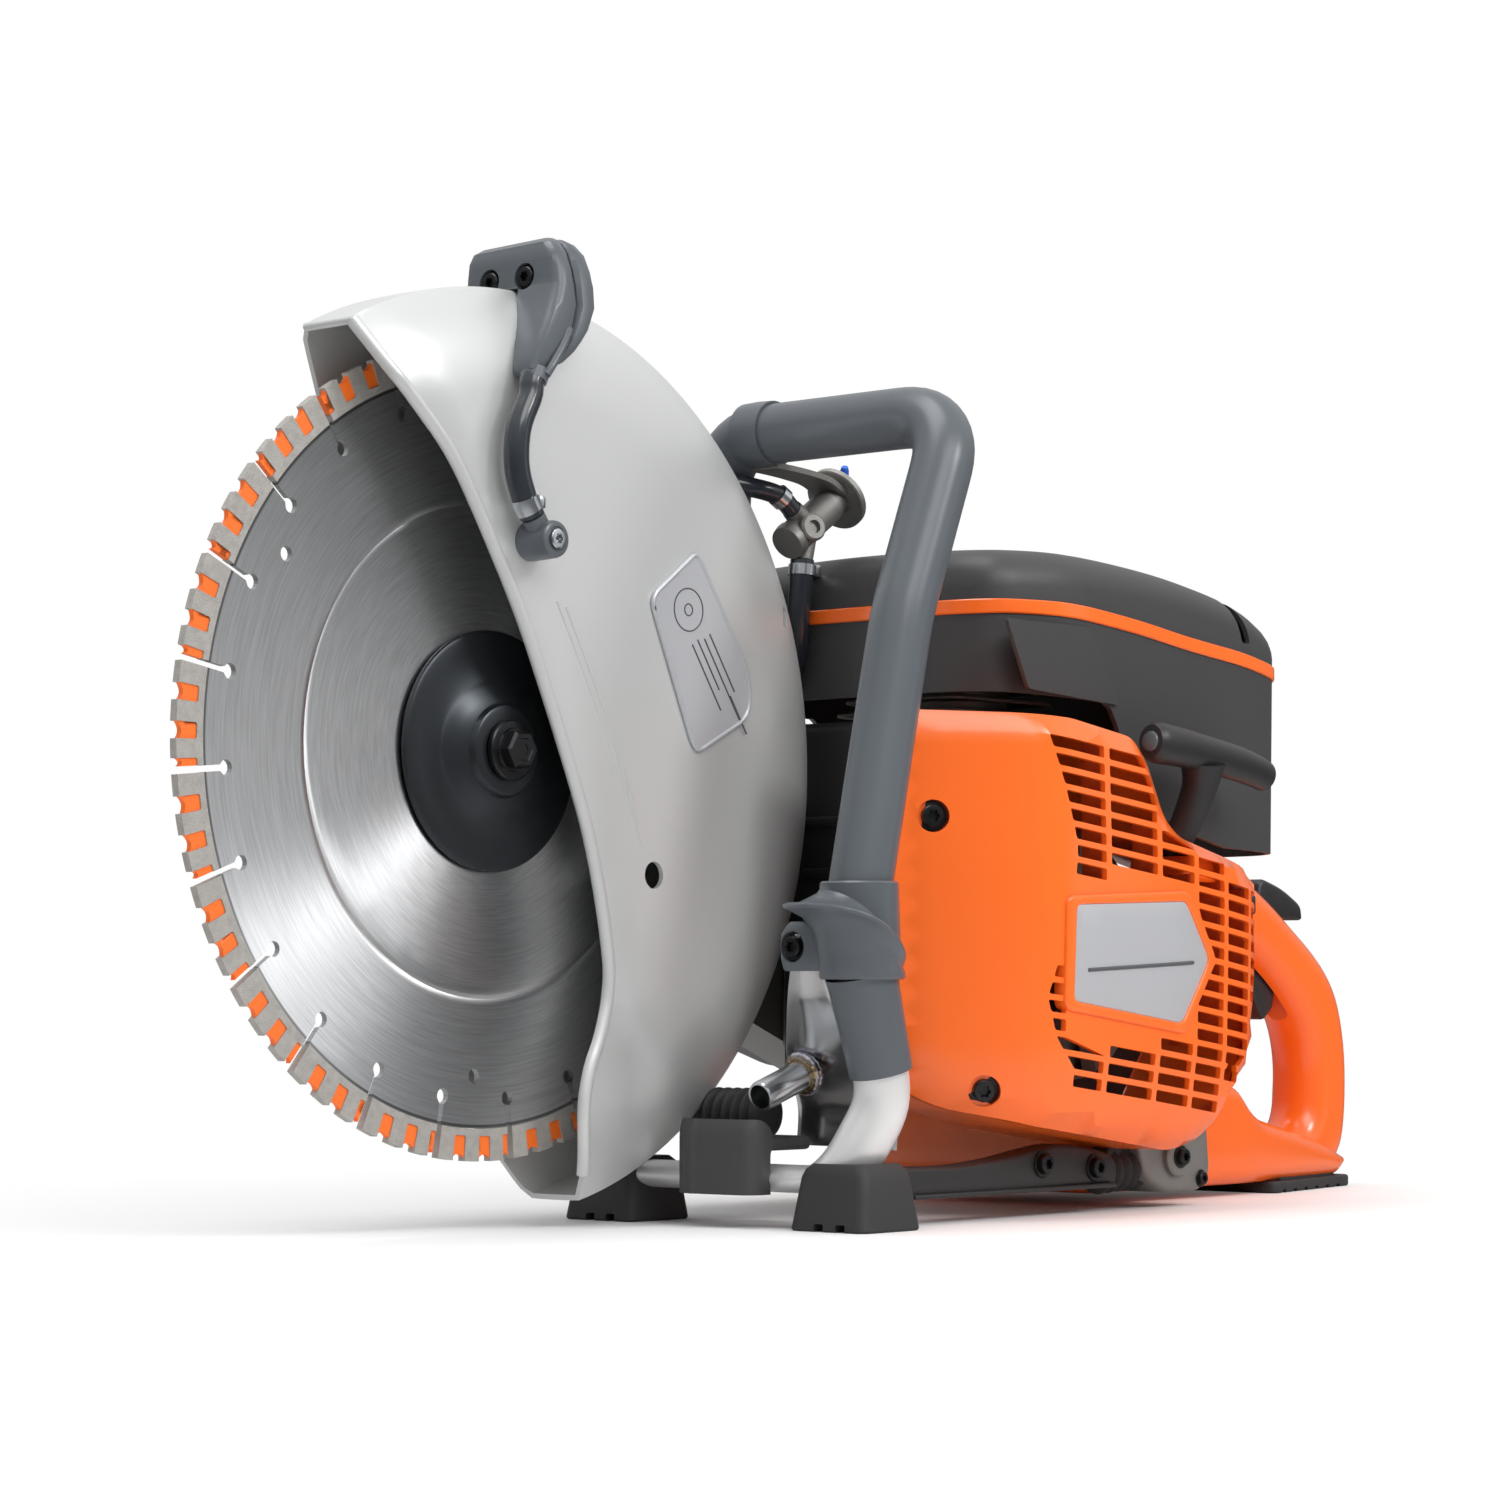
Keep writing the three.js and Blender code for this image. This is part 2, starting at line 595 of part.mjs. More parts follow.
// ---- crankshaft, flywheel and piston -------------------------------------------------------------
const THROW = 17; // half the stroke
const crank = assembly("crank");
function crankshaft() {
  const web = (y) => wheel(33, y, y + 7, CRANK.x, CRANK.z, 0, 28);
  return join(
    wheel(7.6, -120, CYLINDER.y - 8, CRANK.x, CRANK.z, 0, 20),
    wheel(7.6, CYLINDER.y + 8, 78, CRANK.x, CRANK.z, 0, 20),
    web(CYLINDER.y - 14),
    web(CYLINDER.y + 7),
    wheel(8, CYLINDER.y - 8, CYLINDER.y + 8, CRANK.x, CRANK.z - THROW, 0, 20),
  );
}
place(crank, "crankshaft", crankshaft(), MATERIALS.steel);
place(
  crank,
  "flywheel",
  join(
    wheel(58, -100, -92, CRANK.x, CRANK.z, 8, 40),
    wheel(24, -112, -92, CRANK.x, CRANK.z, 8, 28),
    ...Array.from({ length: 9 }, (_, i) => {
      const a = rad(40 * i);
      const from = [CRANK.x + 23 * Math.cos(a), -104, CRANK.z + 23 * Math.sin(a)];
      const to = [CRANK.x + 56 * Math.cos(a), -104, CRANK.z + 56 * Math.sin(a)];
      return rod(from, to, 4.5, 4);
    }),
  ),
  MATERIALS.castGrey,
);

const pistonGroup = assembly("piston_group");
const PISTON_Z = [-44, -12]; // skirt and crown at the bottom of the stroke
place(
  pistonGroup,
  "piston",
  cut(
    rod([CYLINDER.x, CYLINDER.y, PISTON_Z[0]], [CYLINDER.x, CYLINDER.y, PISTON_Z[1]], 25, 28),
    rod([CYLINDER.x, CYLINDER.y, PISTON_Z[0] - 1], [CYLINDER.x, CYLINDER.y, PISTON_Z[1] - 6], 20, 24),
  ),
  MATERIALS.steel,
);

// ---- recoil handle ------------------------------------------------------------------------------
const recoil = assembly("recoil");
const PULL = new THREE.Vector3(0.47, -0.2, 0.86).normalize();
const SEAT = new THREE.Vector3(331, -128, -31);
const along = (d) => SEAT.clone().addScaledVector(PULL, d).toArray();

/** T-shaped grip: a bar across the top of a tapered stem. */
function pullHandle() {
  const centre = along(40);
  const ends = [-46, 50].map((d) => [centre[0] + d, centre[1] - 2, centre[2] - 0.1 * d]);
  return cut(
    join(rod(along(6), along(42), 9, 16, 13), rod(...ends, 8.5, 16)),
    rod(along(-10), along(24), 3, 10),
  );
}
place(recoil, "pull_handle", pullHandle(), MATERIALS.charcoal);
place(recoil, "starter_rope", rod(along(-4), along(23), 2, 8), MATERIALS.hose);

// ---- handle tube, grip, collar, sleeve and frame -------------------------------------------------
const frame = assembly("handle_frame");
// The whole tube: from the bracket on the arm's side, over the top, down the left leg and across.
const RIGHT_END = [197, 44, 20];
const TUBE = [
  RIGHT_END,
  [BAR.x, 20, BAR.z, 26],
  [BAR.x, LEG_Y, BAR.z, 26],
  [139, LEG_Y, 62, 60],
  [107, LEG_Y, -70, 60],
  [126, LEG_Y - 2, -150, 26],
  [CROSS.x, LEG_Y + 12, CROSS.z, 28],
  [CROSS.x, 40, CROSS.z],
];
/** A part of the tube's path: its corners from index a up to b, between two given ends. */
const stretch = (start, a, b, end) => bentPath([start, ...TUBE.slice(a, b), end]);
const between = (p, q, t) => p.slice(0, 3).map((value, i) => value + (q[i] - value) * t);

const TUBE_STEPS = 66;
const tubePath = bentPath(TUBE);
place(frame, "handle_tube", swept(tubePath, TUBE_R, TUBE_STEPS, 8), MATERIALS.steel);
const tubeRoom = swept(tubePath, TUBE_R + GAP + 0.3, TUBE_STEPS, 8);

const gripStart = between(TUBE[0], TUBE[1], 0.25);
const gripEnd = between(TUBE[3], TUBE[4], 0.82);
place(
  frame,
  "handle_grip",
  swept(stretch(gripStart, 1, 4, gripEnd), GRIP_R, 40, 8, TUBE_R + 1.1),
  MATERIALS.greyPlastic,
);

/** The plastic collar that clamps the leg: a sleeve, a flared lip and an ear for its screw. */
function handleCollar() {
  const sleeve = rod([109.5, LEG_Y, -58], [112, LEG_Y, -98], 17, 20);
  const lip = rod([112, LEG_Y + 4, -74], [107, LEG_Y + 1, -67], 26, 24, 29);
  const ear = block([95, LEG_Y + 10, -95], [113, LEG_Y + 38, -72]);
  return cut(join(sleeve, lip, ear), tubeRoom);
}
place(frame, "handle_collar", handleCollar(), MATERIALS.greyPlastic);
place(
  frame,
  "handle_lower_sleeve",
  cut(rod([113, LEG_Y, -101.5], [122.5, LEG_Y - 1.7, -138], 15.2, 20), tubeRoom),
  MATERIALS.greyPlastic,
);

const SLOPE = new THREE.Vector3(-0.95, 0, -0.31).normalize();
/** Pressed plate that ties the collar to the cross tube and carries the trolley stub. */
function steelBracket() {
  const face = [
    [105, -101], [109, -100], [124, -112], [148, -151], [146, -172], [141, -172], [142, -152],
    [120, -117],
  ];
  return cut(sidePlate(face, -102, -48), tubeRoom);
}
place(frame, "front_bracket", steelBracket(), MATERIALS.steel);
const STUB = new THREE.Vector3(126, -72, -139);
const stubAt = (d) => STUB.clone().addScaledVector(SLOPE, d).toArray();
place(
  frame,
  "trolley_stub",
  cut(rod(stubAt(0), stubAt(34), 7, 20), rod(stubAt(4), stubAt(36), 5.6, 16)),
  MATERIALS.steel,
);

/** A rubber foot, wider at its base, hollowed for the tube that stands in it. */
function rubberFoot(y) {
  const top = GROUND + 29;
  const front = sidePlate([[93, GROUND], [131, GROUND], [127, top], [97, top]], y - 21, y + 21);
  const side = [[y - 21, GROUND], [y + 21, GROUND], [y + 18, top], [y - 18, top]];
  const g = new THREE.ExtrudeGeometry(shapeOf(side), { depth: 60, bevelEnabled: false });
  const taper = solid(g.rotateX(Math.PI / 2).rotateZ(Math.PI / 2).translate(82, 0, 0));
  return cut(common(front, taper), tubeRoom);
}
place(frame, "front_foot_left", rubberFoot(-113), MATERIALS.rubber);
place(frame, "front_foot_right", rubberFoot(20), MATERIALS.rubber);

function frontShield() {
  const outline = [[84, -74], [88, -80], [98, -80], [98, -36], [88, -36], [84, -50]];
  const shelf = block([96, -70, -172], [118, -46, -167]);
  return join(planPlate(outline, -190, -158), shelf);
}
place(frame, "front_shield", frontShield(), MATERIALS.charcoal);

/** The corrugated sleeve behind the shield. */
function corrugated(a, b, rLow, rHigh, folds) {
  const from = new THREE.Vector3(...a);
  const to = new THREE.Vector3(...b);
  const profile = [[0, 0]];
  const step = from.distanceTo(to) / folds;
  for (let i = 0; i < folds; i++) {
    profile.push([rLow, i * step], [rHigh, (i + 0.5) * step]);
  }
  profile.push([rLow, folds * step], [0, folds * step]);
  const g = new THREE.LatheGeometry(profile.map(([r, y]) => new THREE.Vector2(r, y)), 14);
  const turn = new THREE.Quaternion().setFromUnitVectors(
    new THREE.Vector3(0, 1, 0),
    to.sub(from).normalize(),
  );
  return solid(g.applyQuaternion(turn).translate(...a));
}
place(
  frame,
  "corrugated_sleeve",
  corrugated([136, -44, -160], [136, 4, -160], 8, 10, 5),
  MATERIALS.rubber,
);

// ---- lower rail, damper, rear handle and tank ----------------------------------------------------
const chassis = assembly("chassis");
const RAIL_Y = [-112, -100];
place(
  chassis,
  "side_rail",
  sidePlate(
    [
      [134, -178], [214, -178], [236, -176], [290, -178], [302, -181], [302, -191], [262, -192],
      [216, -193], [134, -192],
    ],
    ...RAIL_Y,
  ),
  MATERIALS.charcoal,
);
place(
  chassis,
  "damper_boot",
  corrugated([303, -100, -187], [335, -100, -187], 8, 10, 4),
  MATERIALS.rubber,
);
place(
  chassis,
  "damper_mount",
  join(
    sidePlate(
      [
        [336, -178], [352, -175], [366, -160], [376, -162], [380, -190], [372, -197],
        [344, -197], [336, -190],
      ],
      -112,
      -82 - GAP,
    ),
    rod([358, -116, -181], [358, -111, -181], 6, 14),
  ),
  MATERIALS.castGrey,
);

const HANDLE_Y = -45;
const GRIP_HALF = 17;
/** Fuel tank, rising neck and closed rear handle in one moulding. */
function rearHandle() {
  const tank = sidePlate(
    [
      [306, -152], [340, -148.5], [450, -148], [470, -172], [560, -180], [585, -192],
      [575, -199], [330, -199], [306, -190],
    ],
    -82,
    42,
  );
  const loop = sidePlate(
    [
      [430, -150], [430, -60], [452, -44], [478, -40], [500, -46], [540, -69], [574, -92],
      [589, -110], [594, -132], [594, -160], [588, -184], [575, -199], [430, -199],
    ],
    HANDLE_Y - GRIP_HALF,
    HANDLE_Y + GRIP_HALF,
  );
  const opening = sidePlate(
    [
      [466, -92], [478, -84], [497, -84], [524, -101], [545, -120], [552, -138], [550, -168],
      [540, -176], [486, -172], [470, -160],
    ],
    -100,
    60,
  );
  const narrow = planPlate(
    [[470, -100], [620, -100], [620, -76], [594, -68], [520, -68], [490, -86], [470, -90]],
    -210,
    -60,
  );
  const narrowRight = planPlate(
    [[455, 60], [455, 42.5], [500, 10], [540, -10], [594, -18], [620, -18], [620, 60]],
    -210,
    -60,
  );
  const seat = block([505, HANDLE_Y - 6, -116], [542, HANDLE_Y + 6, -78]);
  const lockSeat = block([512, HANDLE_Y - 7, -72], [560, HANDLE_Y + 7, -30]);
  return cut(join(tank, loop), opening, narrow, narrowRight, seat, lockSeat);
}
place(chassis, "rear_handle", rearHandle(), MATERIALS.orange);
place(
  chassis,
  "rear_foot",
  planPlate([[486, -82], [560, -66], [584, -62], [584, -28], [560, -24], [486, 4]], GROUND, -199 - GAP),
  MATERIALS.rubber,
);

const cap = assembly("fuel_cap_group");
place(cap, "fuel_cap", rod([400, 42 + GAP, -174], [400, 56, -174], 19, 20), MATERIALS.charcoal);

// ---- controls ------------------------------------------------------------------------------------
const controls = assembly("controls");
place(
  controls,
  "throttle_trigger",
  sidePlate(
    [[508, -84], [533, -99.5], [530, -112], [520, -118], [514, -106], [507, -96]],
    HANDLE_Y - 5,
    HANDLE_Y + 5,
  ),
  MATERIALS.charcoal,
);
place(
  controls,
  "throttle_lockout",
  sidePlate([[514, -63], [557, -63], [555, -56], [538, -47], [518, -45]], HANDLE_Y - 6, HANDLE_Y + 6),
  MATERIALS.charcoal,
);
place(
  controls,
  "stop_switch",
  join(
    block([470, HANDLE_Y - GRIP_HALF - 4, -64], [486, HANDLE_Y - GRIP_HALF - GAP, -54]),
    block([476, HANDLE_Y - GRIP_HALF - 8, -62], [480, HANDLE_Y - GRIP_HALF - 3, -56]),
  ),
  MATERIALS.charcoal,
);
place(controls, "choke_knob", rod([458 + GAP, 0, 8], [472, 0, 8], 9, 18), MATERIALS.charcoal);

// ---- water tap -----------------------------------------------------------------------------------
const water = assembly("water_feed");
const TAP_AXIS = new THREE.Vector3(0.83, 0, 0.56).normalize();
const TAP = new THREE.Vector3(212, -4, 117);
const tapAt = (d) => TAP.clone().addScaledVector(TAP_AXIS, d).toArray();
const barRoom = swept(tubePath, GRIP_R + 1, TUBE_STEPS, 10);
/** Clip round the grip bar with a round flange that the tap is screwed to. */
function tapBracket() {
  const clip = rod([BAR.x, -12, BAR.z], [BAR.x, 4, BAR.z], 18, 20);
  const tongue = block([BAR.x, -12, 137], [236, 4, 142]);
  const flange = rod(tapAt(24), tapAt(28), 15, 20);
  return cut(join(clip, tongue, flange), barRoom);
}
place(water, "tap_bracket", tapBracket(), MATERIALS.castGrey);
place(
  water,
  "tap_body",
  cut(
    join(rod(tapAt(-20), tapAt(24 - GAP), 8, 20), rod([211, -4, 115], [206.5, -4, 97], 5, 12)),
    rod([BAR.x, -30, BAR.z], [BAR.x, 30, BAR.z], 18 + GAP, 20),
    block([200, -13, 136.5], [240, 5, 150]),
  ),
  MATERIALS.castGrey,
);
const leverEnd = [tapAt(-25)[0] - 2, -36, tapAt(-25)[2] - 6];
place(
  water,
  "tap_lever",
  join(rod(tapAt(-26), tapAt(-20 - GAP), 6.5, 14), rod(tapAt(-23.2), leverEnd, 2, 10)),
  MATERIALS.bluePlastic,
);
const HOSE_RUN = new THREE.CatmullRomCurve3(
  [
    [20, 33, 208], [23, 40, 208], [50, 42, 205], [96, 42, 187], [138, 39, 162], [152, 28, 146],
    [162, 14, 134], [176, 2, 131], [190, -3, 128], [199, -4, 122],
  ].map((p) => new THREE.Vector3(...p)),
);
place(water, "feed_hose", swept(HOSE_RUN, HOSE_R, 26, 8), MATERIALS.hose);

// ---- stand the saw on the ground, with its origin under the middle of its box ---------------------
const bounds = new THREE.Box3().setFromObject(saw);
saw.position.set(
  -(bounds.min.x + bounds.max.x) / 2,
  -(bounds.min.y + bounds.max.y) / 2,
  -bounds.min.z,
);

export default saw;
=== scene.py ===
import math

import bmesh
import bpy
import numpy as np
from mathutils import Matrix, Vector
from mathutils.geometry import delaunay_2d_cdt


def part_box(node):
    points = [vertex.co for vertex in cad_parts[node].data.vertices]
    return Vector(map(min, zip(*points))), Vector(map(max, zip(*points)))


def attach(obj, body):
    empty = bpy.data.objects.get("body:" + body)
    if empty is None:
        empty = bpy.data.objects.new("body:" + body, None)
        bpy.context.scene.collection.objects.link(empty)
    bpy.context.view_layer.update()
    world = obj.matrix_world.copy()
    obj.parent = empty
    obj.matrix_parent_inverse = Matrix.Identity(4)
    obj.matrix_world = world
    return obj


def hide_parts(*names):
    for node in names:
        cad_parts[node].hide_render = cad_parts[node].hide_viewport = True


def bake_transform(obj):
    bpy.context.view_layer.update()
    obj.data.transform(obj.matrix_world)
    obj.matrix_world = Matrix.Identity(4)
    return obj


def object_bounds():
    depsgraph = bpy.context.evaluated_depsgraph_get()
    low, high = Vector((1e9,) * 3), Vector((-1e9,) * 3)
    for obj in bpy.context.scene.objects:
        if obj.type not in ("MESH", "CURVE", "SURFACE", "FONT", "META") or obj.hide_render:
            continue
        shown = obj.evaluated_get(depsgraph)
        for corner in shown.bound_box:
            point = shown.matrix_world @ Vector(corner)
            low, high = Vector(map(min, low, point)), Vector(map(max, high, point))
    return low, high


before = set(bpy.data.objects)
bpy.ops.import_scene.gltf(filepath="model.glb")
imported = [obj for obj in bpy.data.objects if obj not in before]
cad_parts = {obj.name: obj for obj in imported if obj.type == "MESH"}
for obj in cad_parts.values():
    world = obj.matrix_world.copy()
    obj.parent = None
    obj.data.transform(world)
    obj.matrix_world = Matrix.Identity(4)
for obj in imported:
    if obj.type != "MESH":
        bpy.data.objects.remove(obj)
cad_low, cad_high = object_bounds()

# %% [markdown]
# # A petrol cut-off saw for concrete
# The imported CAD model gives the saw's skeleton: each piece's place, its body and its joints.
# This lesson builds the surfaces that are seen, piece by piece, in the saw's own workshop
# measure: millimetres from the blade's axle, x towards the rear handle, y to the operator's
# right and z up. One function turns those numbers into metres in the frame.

blade_low, blade_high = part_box("blade_disc")
AXLE = np.array((blade_low + blade_high) / 2)
BLADE_R = (blade_high.x - blade_low.x) * 500
MM = 0.001


def placed(points):
    """Points in the saw's millimetres, as metres in the frame."""
    return AXLE + np.asarray(points, float) * MM


print("axle at", AXLE.round(4), "blade radius", round(BLADE_R, 1), "mm")

# %% [markdown]
# ## Making a piece
# Every piece goes through the same door: points and faces become a mesh, doubles are merged,
# the normals are made to point outwards, and edges sharper than a chosen angle stay crisp.
# Then the piece is parented to the body it rides on, or baked in place when it spans two bodies, and the
# CAD solids it stands for are hidden.

# %% From points and faces to a piece that rides
PIECES = []


def register(piece, body, slot, nodes=()):
    """Body is a body's name, or (body, body, start, end) for a piece between two bodies, which is baked
    in place.
    """
    if isinstance(body, str):
        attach(piece, body)
    else:
        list(body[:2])
        [tuple(placed(point)) for point in body[2:]]
        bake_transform(piece)
    if nodes:
        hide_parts(*nodes)
    PIECES.append(piece.name)
    return piece


def in_scene(name, data):
    made = bpy.data.objects.new(name, data)
    bpy.context.scene.collection.objects.link(made)
    return made


def crisp(mesh, sharp):
    """Smooth shading, with edges sharper than an angle in degrees kept crisp."""
    mesh.polygons.foreach_set("use_smooth", [True] * len(mesh.polygons))
    mesh.set_sharp_from_angle(angle=math.radians(sharp))


def merged_mesh(name, bm):
    """The bmesh as a mesh, with doubles merged and normals that point outwards."""
    bmesh.ops.remove_doubles(bm, verts=bm.verts, dist=2e-6)
    bmesh.ops.recalc_face_normals(bm, faces=bm.faces)
    mesh = bpy.data.meshes.new(name)
    bm.to_mesh(mesh)
    bm.free()
    return mesh


def add_object(name, bm, material, sharp=32):
    mesh = merged_mesh(name, bm)
    crisp(mesh, sharp)
    mesh.materials.append(material)
    return in_scene(name, mesh)


def bmesh_of(*shells):
    """One bmesh from several (points, faces) shells."""
    bm = bmesh.new()
    for points, faces in shells:
        verts = [bm.verts.new(p) for p in placed(points)]
        for face in faces:
            if len(set(face)) < 3:
                continue
            try:
                bm.faces.new([verts[k] for k in face])
            except ValueError:
                continue
    return bm


def piece(name, shells, material, body, slot, nodes=(), sharp=32):
    return register(add_object(name, bmesh_of(*shells), material, sharp), body, slot, nodes)


# %% [markdown]
# ## Outlines
# Most casings here start as a flat outline. Straight runs come from a few corner points, and
# each corner is turned into an arc, as a pattern maker would round it. Organic edges, such as
# the guard's front edge, are a smooth curve through a few points instead.

# %% Rounded and curved outlines
def rounded(points, radius, steps=5):
    """A closed outline with its corners rounded. radius is one number or one for each corner."""
    n = len(points)
    radii = [radius] * n if np.isscalar(radius) else radius
    out = []
    for i, r in enumerate(radii):
        corner = np.array(points[i], float)
        back = np.array(points[i - 1], float) - corner
        on = np.array(points[(i + 1) % n], float) - corner
        reach = min(r, 0.48 * np.linalg.norm(back), 0.48 * np.linalg.norm(on))
        start = corner + back / np.linalg.norm(back) * reach
        end = corner + on / np.linalg.norm(on) * reach
        for t in np.linspace(0, 1, steps + 1):
            out.append((1 - t) ** 2 * start + 2 * t * (1 - t) * corner + t * t * end)
    return np.array(out)


def smooth_line(points, steps=8, closed=False):
    """A Catmull-Rom curve through points of any dimension."""
    p = np.array(points, float)
    if closed:
        p = np.vstack([p[-1], p, p[0], p[1]])
    else:
        p = np.vstack([2 * p[0] - p[1], p, 2 * p[-1] - p[-2]])
    out = []
    for a, b, c, d in zip(p[:-3], p[1:-2], p[2:-1], p[3:]):
        for t in np.arange(steps) / steps:
            out.append(
                0.5 * (2 * b + (c - a) * t + (2 * a - 5 * b + 4 * c - d) * t**2
                       + (3 * b - a - 3 * c + d) * t**3)
            )
    if not closed:
        out.append(p[-2])
    return np.array(out)


def arc(radius, start, end, steps, centre=(0, 0)):
    angles = np.radians(np.linspace(start, end, steps + 1))
    return np.stack([centre[0] + radius * np.cos(angles), centre[1] + radius * np.sin(angles)], 1)


def divided(loop, longest):
    """The same closed loop with no edge longer than the given length."""
    out = []
    for a, b in zip(loop, np.roll(loop, -1, 0)):
        parts = max(1, math.ceil(np.linalg.norm(b - a) / longest))
        out.extend(a + (b - a) * k / parts for k in range(parts))
    return np.array(out)


# %% [markdown]
# ## Relief plates
# A moulded cover is a flat outline whose surface rises and falls: flat in the middle, rounded
# at the rim, pierced where air passes. Cutting such a shape out of blocks leaves long thin
# faces that shade badly. Here the outline is filled with a triangle net that is finest along
# its edges, and a height function lifts each point. The same net, lower down, is the inside.

# %% A triangle net inside an outline
def edge_distance(points, loops):
    """How far each point is from the nearest edge of any loop."""
    best = np.full(len(points), 1e9)
    for loop in loops:
        for a, b in zip(loop, np.roll(loop, -1, 0)):
            span = b - a
            t = np.clip(((points - a) @ span) / max(span @ span, 1e-12), 0, 1)
            gap = points - a - t[:, None] * span
            best = np.minimum(best, np.einsum("ij,ij->i", gap, gap))
    return np.sqrt(best)


def inside(points, loops):
    odd = np.zeros(len(points), bool)
    x, y = points[:, 0], points[:, 1]
    for loop in loops:
        for (ax, ay), (bx, by) in zip(loop, np.roll(loop, -1, 0)):
            if ay == by:
                continue
            crosses = (ay > y) != (by > y)
            odd ^= crosses & (x < (bx - ax) * (y - ay) / (by - ay) + ax)
    return odd


def net(loops, spacing, depths=(), longest=None):
    """Points, triangles and the loops' point numbers of a net that fills the loops."""
    loops = [divided(np.asarray(loop, float), longest or spacing) for loop in loops]
    edge = np.vstack(loops)
    extra = []
    for loop in loops:
        tangent = np.roll(loop, -1, 0) - np.roll(loop, 1, 0)
        normal = np.stack([-tangent[:, 1], tangent[:, 0]], 1)
        normal /= np.maximum(np.linalg.norm(normal, axis=1), 1e-9)[:, None]
        for depth in depths:
            for side in (1, -1):
                extra.append((loop + side * depth * normal, depth))
    kept = []
    for ring, depth in extra:
        good = inside(ring, loops) & (edge_distance(ring, loops) > 0.93 * depth)
        kept.append(ring[good])
    low, high = edge.min(0), edge.max(0)
    xs = np.arange(low[0], high[0], spacing)
    ys = np.arange(low[1], high[1], spacing * 0.87)
    grid = np.array([(x + (j % 2) * spacing / 2, y) for j, y in enumerate(ys) for x in xs])
    clear = (max(depths) if depths else 0) + spacing * 0.55
    kept.append(grid[inside(grid, loops) & (edge_distance(grid, loops) > clear)])
    flat = np.vstack([edge] + kept)
    edges, at = [], 0
    for loop in loops:
        n = len(loop)
        edges += [(at + k, at + (k + 1) % n) for k in range(n)]
        at += n
    verts, _, faces, origin, _, _ = delaunay_2d_cdt(
        [Vector(p) for p in flat], edges, [], 0, 1e-5
    )
    flat = np.array([tuple(v) for v in verts])
    where = {source: k for k, sources in enumerate(origin) for source in sources}
    tris = np.array(faces)
    middle = flat[tris].mean(1)
    tris = tris[inside(middle, loops)]
    numbers, at = [], 0
    for loop in loops:
        numbers.append([where.get(at + k, at + k) for k in range(len(loop))])
        at += len(loop)
    return flat, tris, numbers, edge_distance(flat, loops)


def roundover(distance, radius):
    """How far a surface has dropped at a distance from its edge, for an edge of that radius."""
    inward = np.maximum(radius - distance, 0)
    return radius - np.sqrt(np.maximum(radius**2 - inward**2, 0))


def ring_depths(radius, steps=4):
    return tuple(radius * (1 - math.cos(math.pi / 2 * k / steps)) for k in range(1, steps + 1))


def slab(flat, tris, numbers, low, high, plane="xz"):
    """A closed shell between two heights over a net. plane is the net's own two directions."""
    order = {"xz": (0, 2, 1), "xy": (0, 1, 2), "yz": (1, 2, 0)}[plane]
    n = len(flat)
    points = np.zeros((2 * n, 3))
    points[:n, order[0]] = points[n:, order[0]] = flat[:, 0]
    points[:n, order[1]] = points[n:, order[1]] = flat[:, 1]
    points[:n, order[2]] = high
    points[n:, order[2]] = low
    faces = [tuple(t) for t in tris] + [tuple(n + t[::-1]) for t in tris]
    for loop in numbers:
        for a, b in zip(loop, loop[1:] + loop[:1]):
            faces.append((a, b, n + b, n + a))
    return points, faces


def plate(loops, low, high, edge=1.5, spacing=6, plane="xz", steps=3, both=True):
    """A plate between two heights with its edges rounded over on one side or on both."""
    flat, tris, numbers, d = net(loops, spacing, ring_depths(edge, steps))
    drop = roundover(d, edge)
    rise = drop if both else 0
    return slab(flat, tris, numbers, low + rise, high - drop, plane)


# %% [markdown]
# ## Turned and swept pieces
# Flanges, bolts, bushes and bosses are turned: a profile spun about an axis. Tubes and hoses
# are swept: a circle carried along a path without twisting. Both are closed at their ends.

# %% Turning and sweeping
def turned(profile, start, axis, sides=48):
    """Spins [(distance along the axis, radius)] about an axis through the start point."""
    axis = Vector(axis).normalized()
    helper = Vector((0, 0, 1)) if abs(axis.z) < 0.9 else Vector((1, 0, 0))
    u = axis.cross(helper).normalized()
    w = axis.cross(u)
    points, faces = [], []
    for along, radius in profile:
        for k in range(sides):
            a = 2 * math.pi * k / sides
            spot = Vector(start) + axis * along
            spot += (u * math.cos(a) + w * math.sin(a)) * max(radius, 1e-4)
            points.append(spot)
    for i in range(len(profile) - 1):
        for k in range(sides):
            m = (k + 1) % sides
            faces.append((i * sides + k, i * sides + m, (i + 1) * sides + m, (i + 1) * sides + k))
    if tuple(profile[0]) != tuple(profile[-1]):
        faces.append(tuple(range(sides))[::-1])
        faces.append(tuple((len(profile) - 1) * sides + k for k in range(sides)))
    return np.array(points), faces


def bend(points, radii, steps=8):
    """A path of straight runs whose corners are circular bends."""
    p = [np.array(q, float) for q in points]
    out = [p[0]]
    for i in range(1, len(p) - 1):
        back = p[i - 1] - p[i]
        on = p[i + 1] - p[i]
        back /= np.linalg.norm(back)
        on /= np.linalg.norm(on)
        half = math.acos(np.clip(back @ on, -1, 1)) / 2
        reach = radii[i - 1] / math.tan(half)
        middle = (back + on) / np.linalg.norm(back + on)
        centre = p[i] + middle * radii[i - 1] / math.sin(half)
        first = p[i] + back * reach - centre
        last = p[i] + on * reach - centre
        sweep_angle = math.pi - 2 * half
        for k in range(steps + 1):
            t = k / steps
            share = (math.sin((1 - t) * sweep_angle) * first + math.sin(t * sweep_angle) * last)
            out.append(centre + share / math.sin(sweep_angle))
    out.append(p[-1])
    return np.array(out)


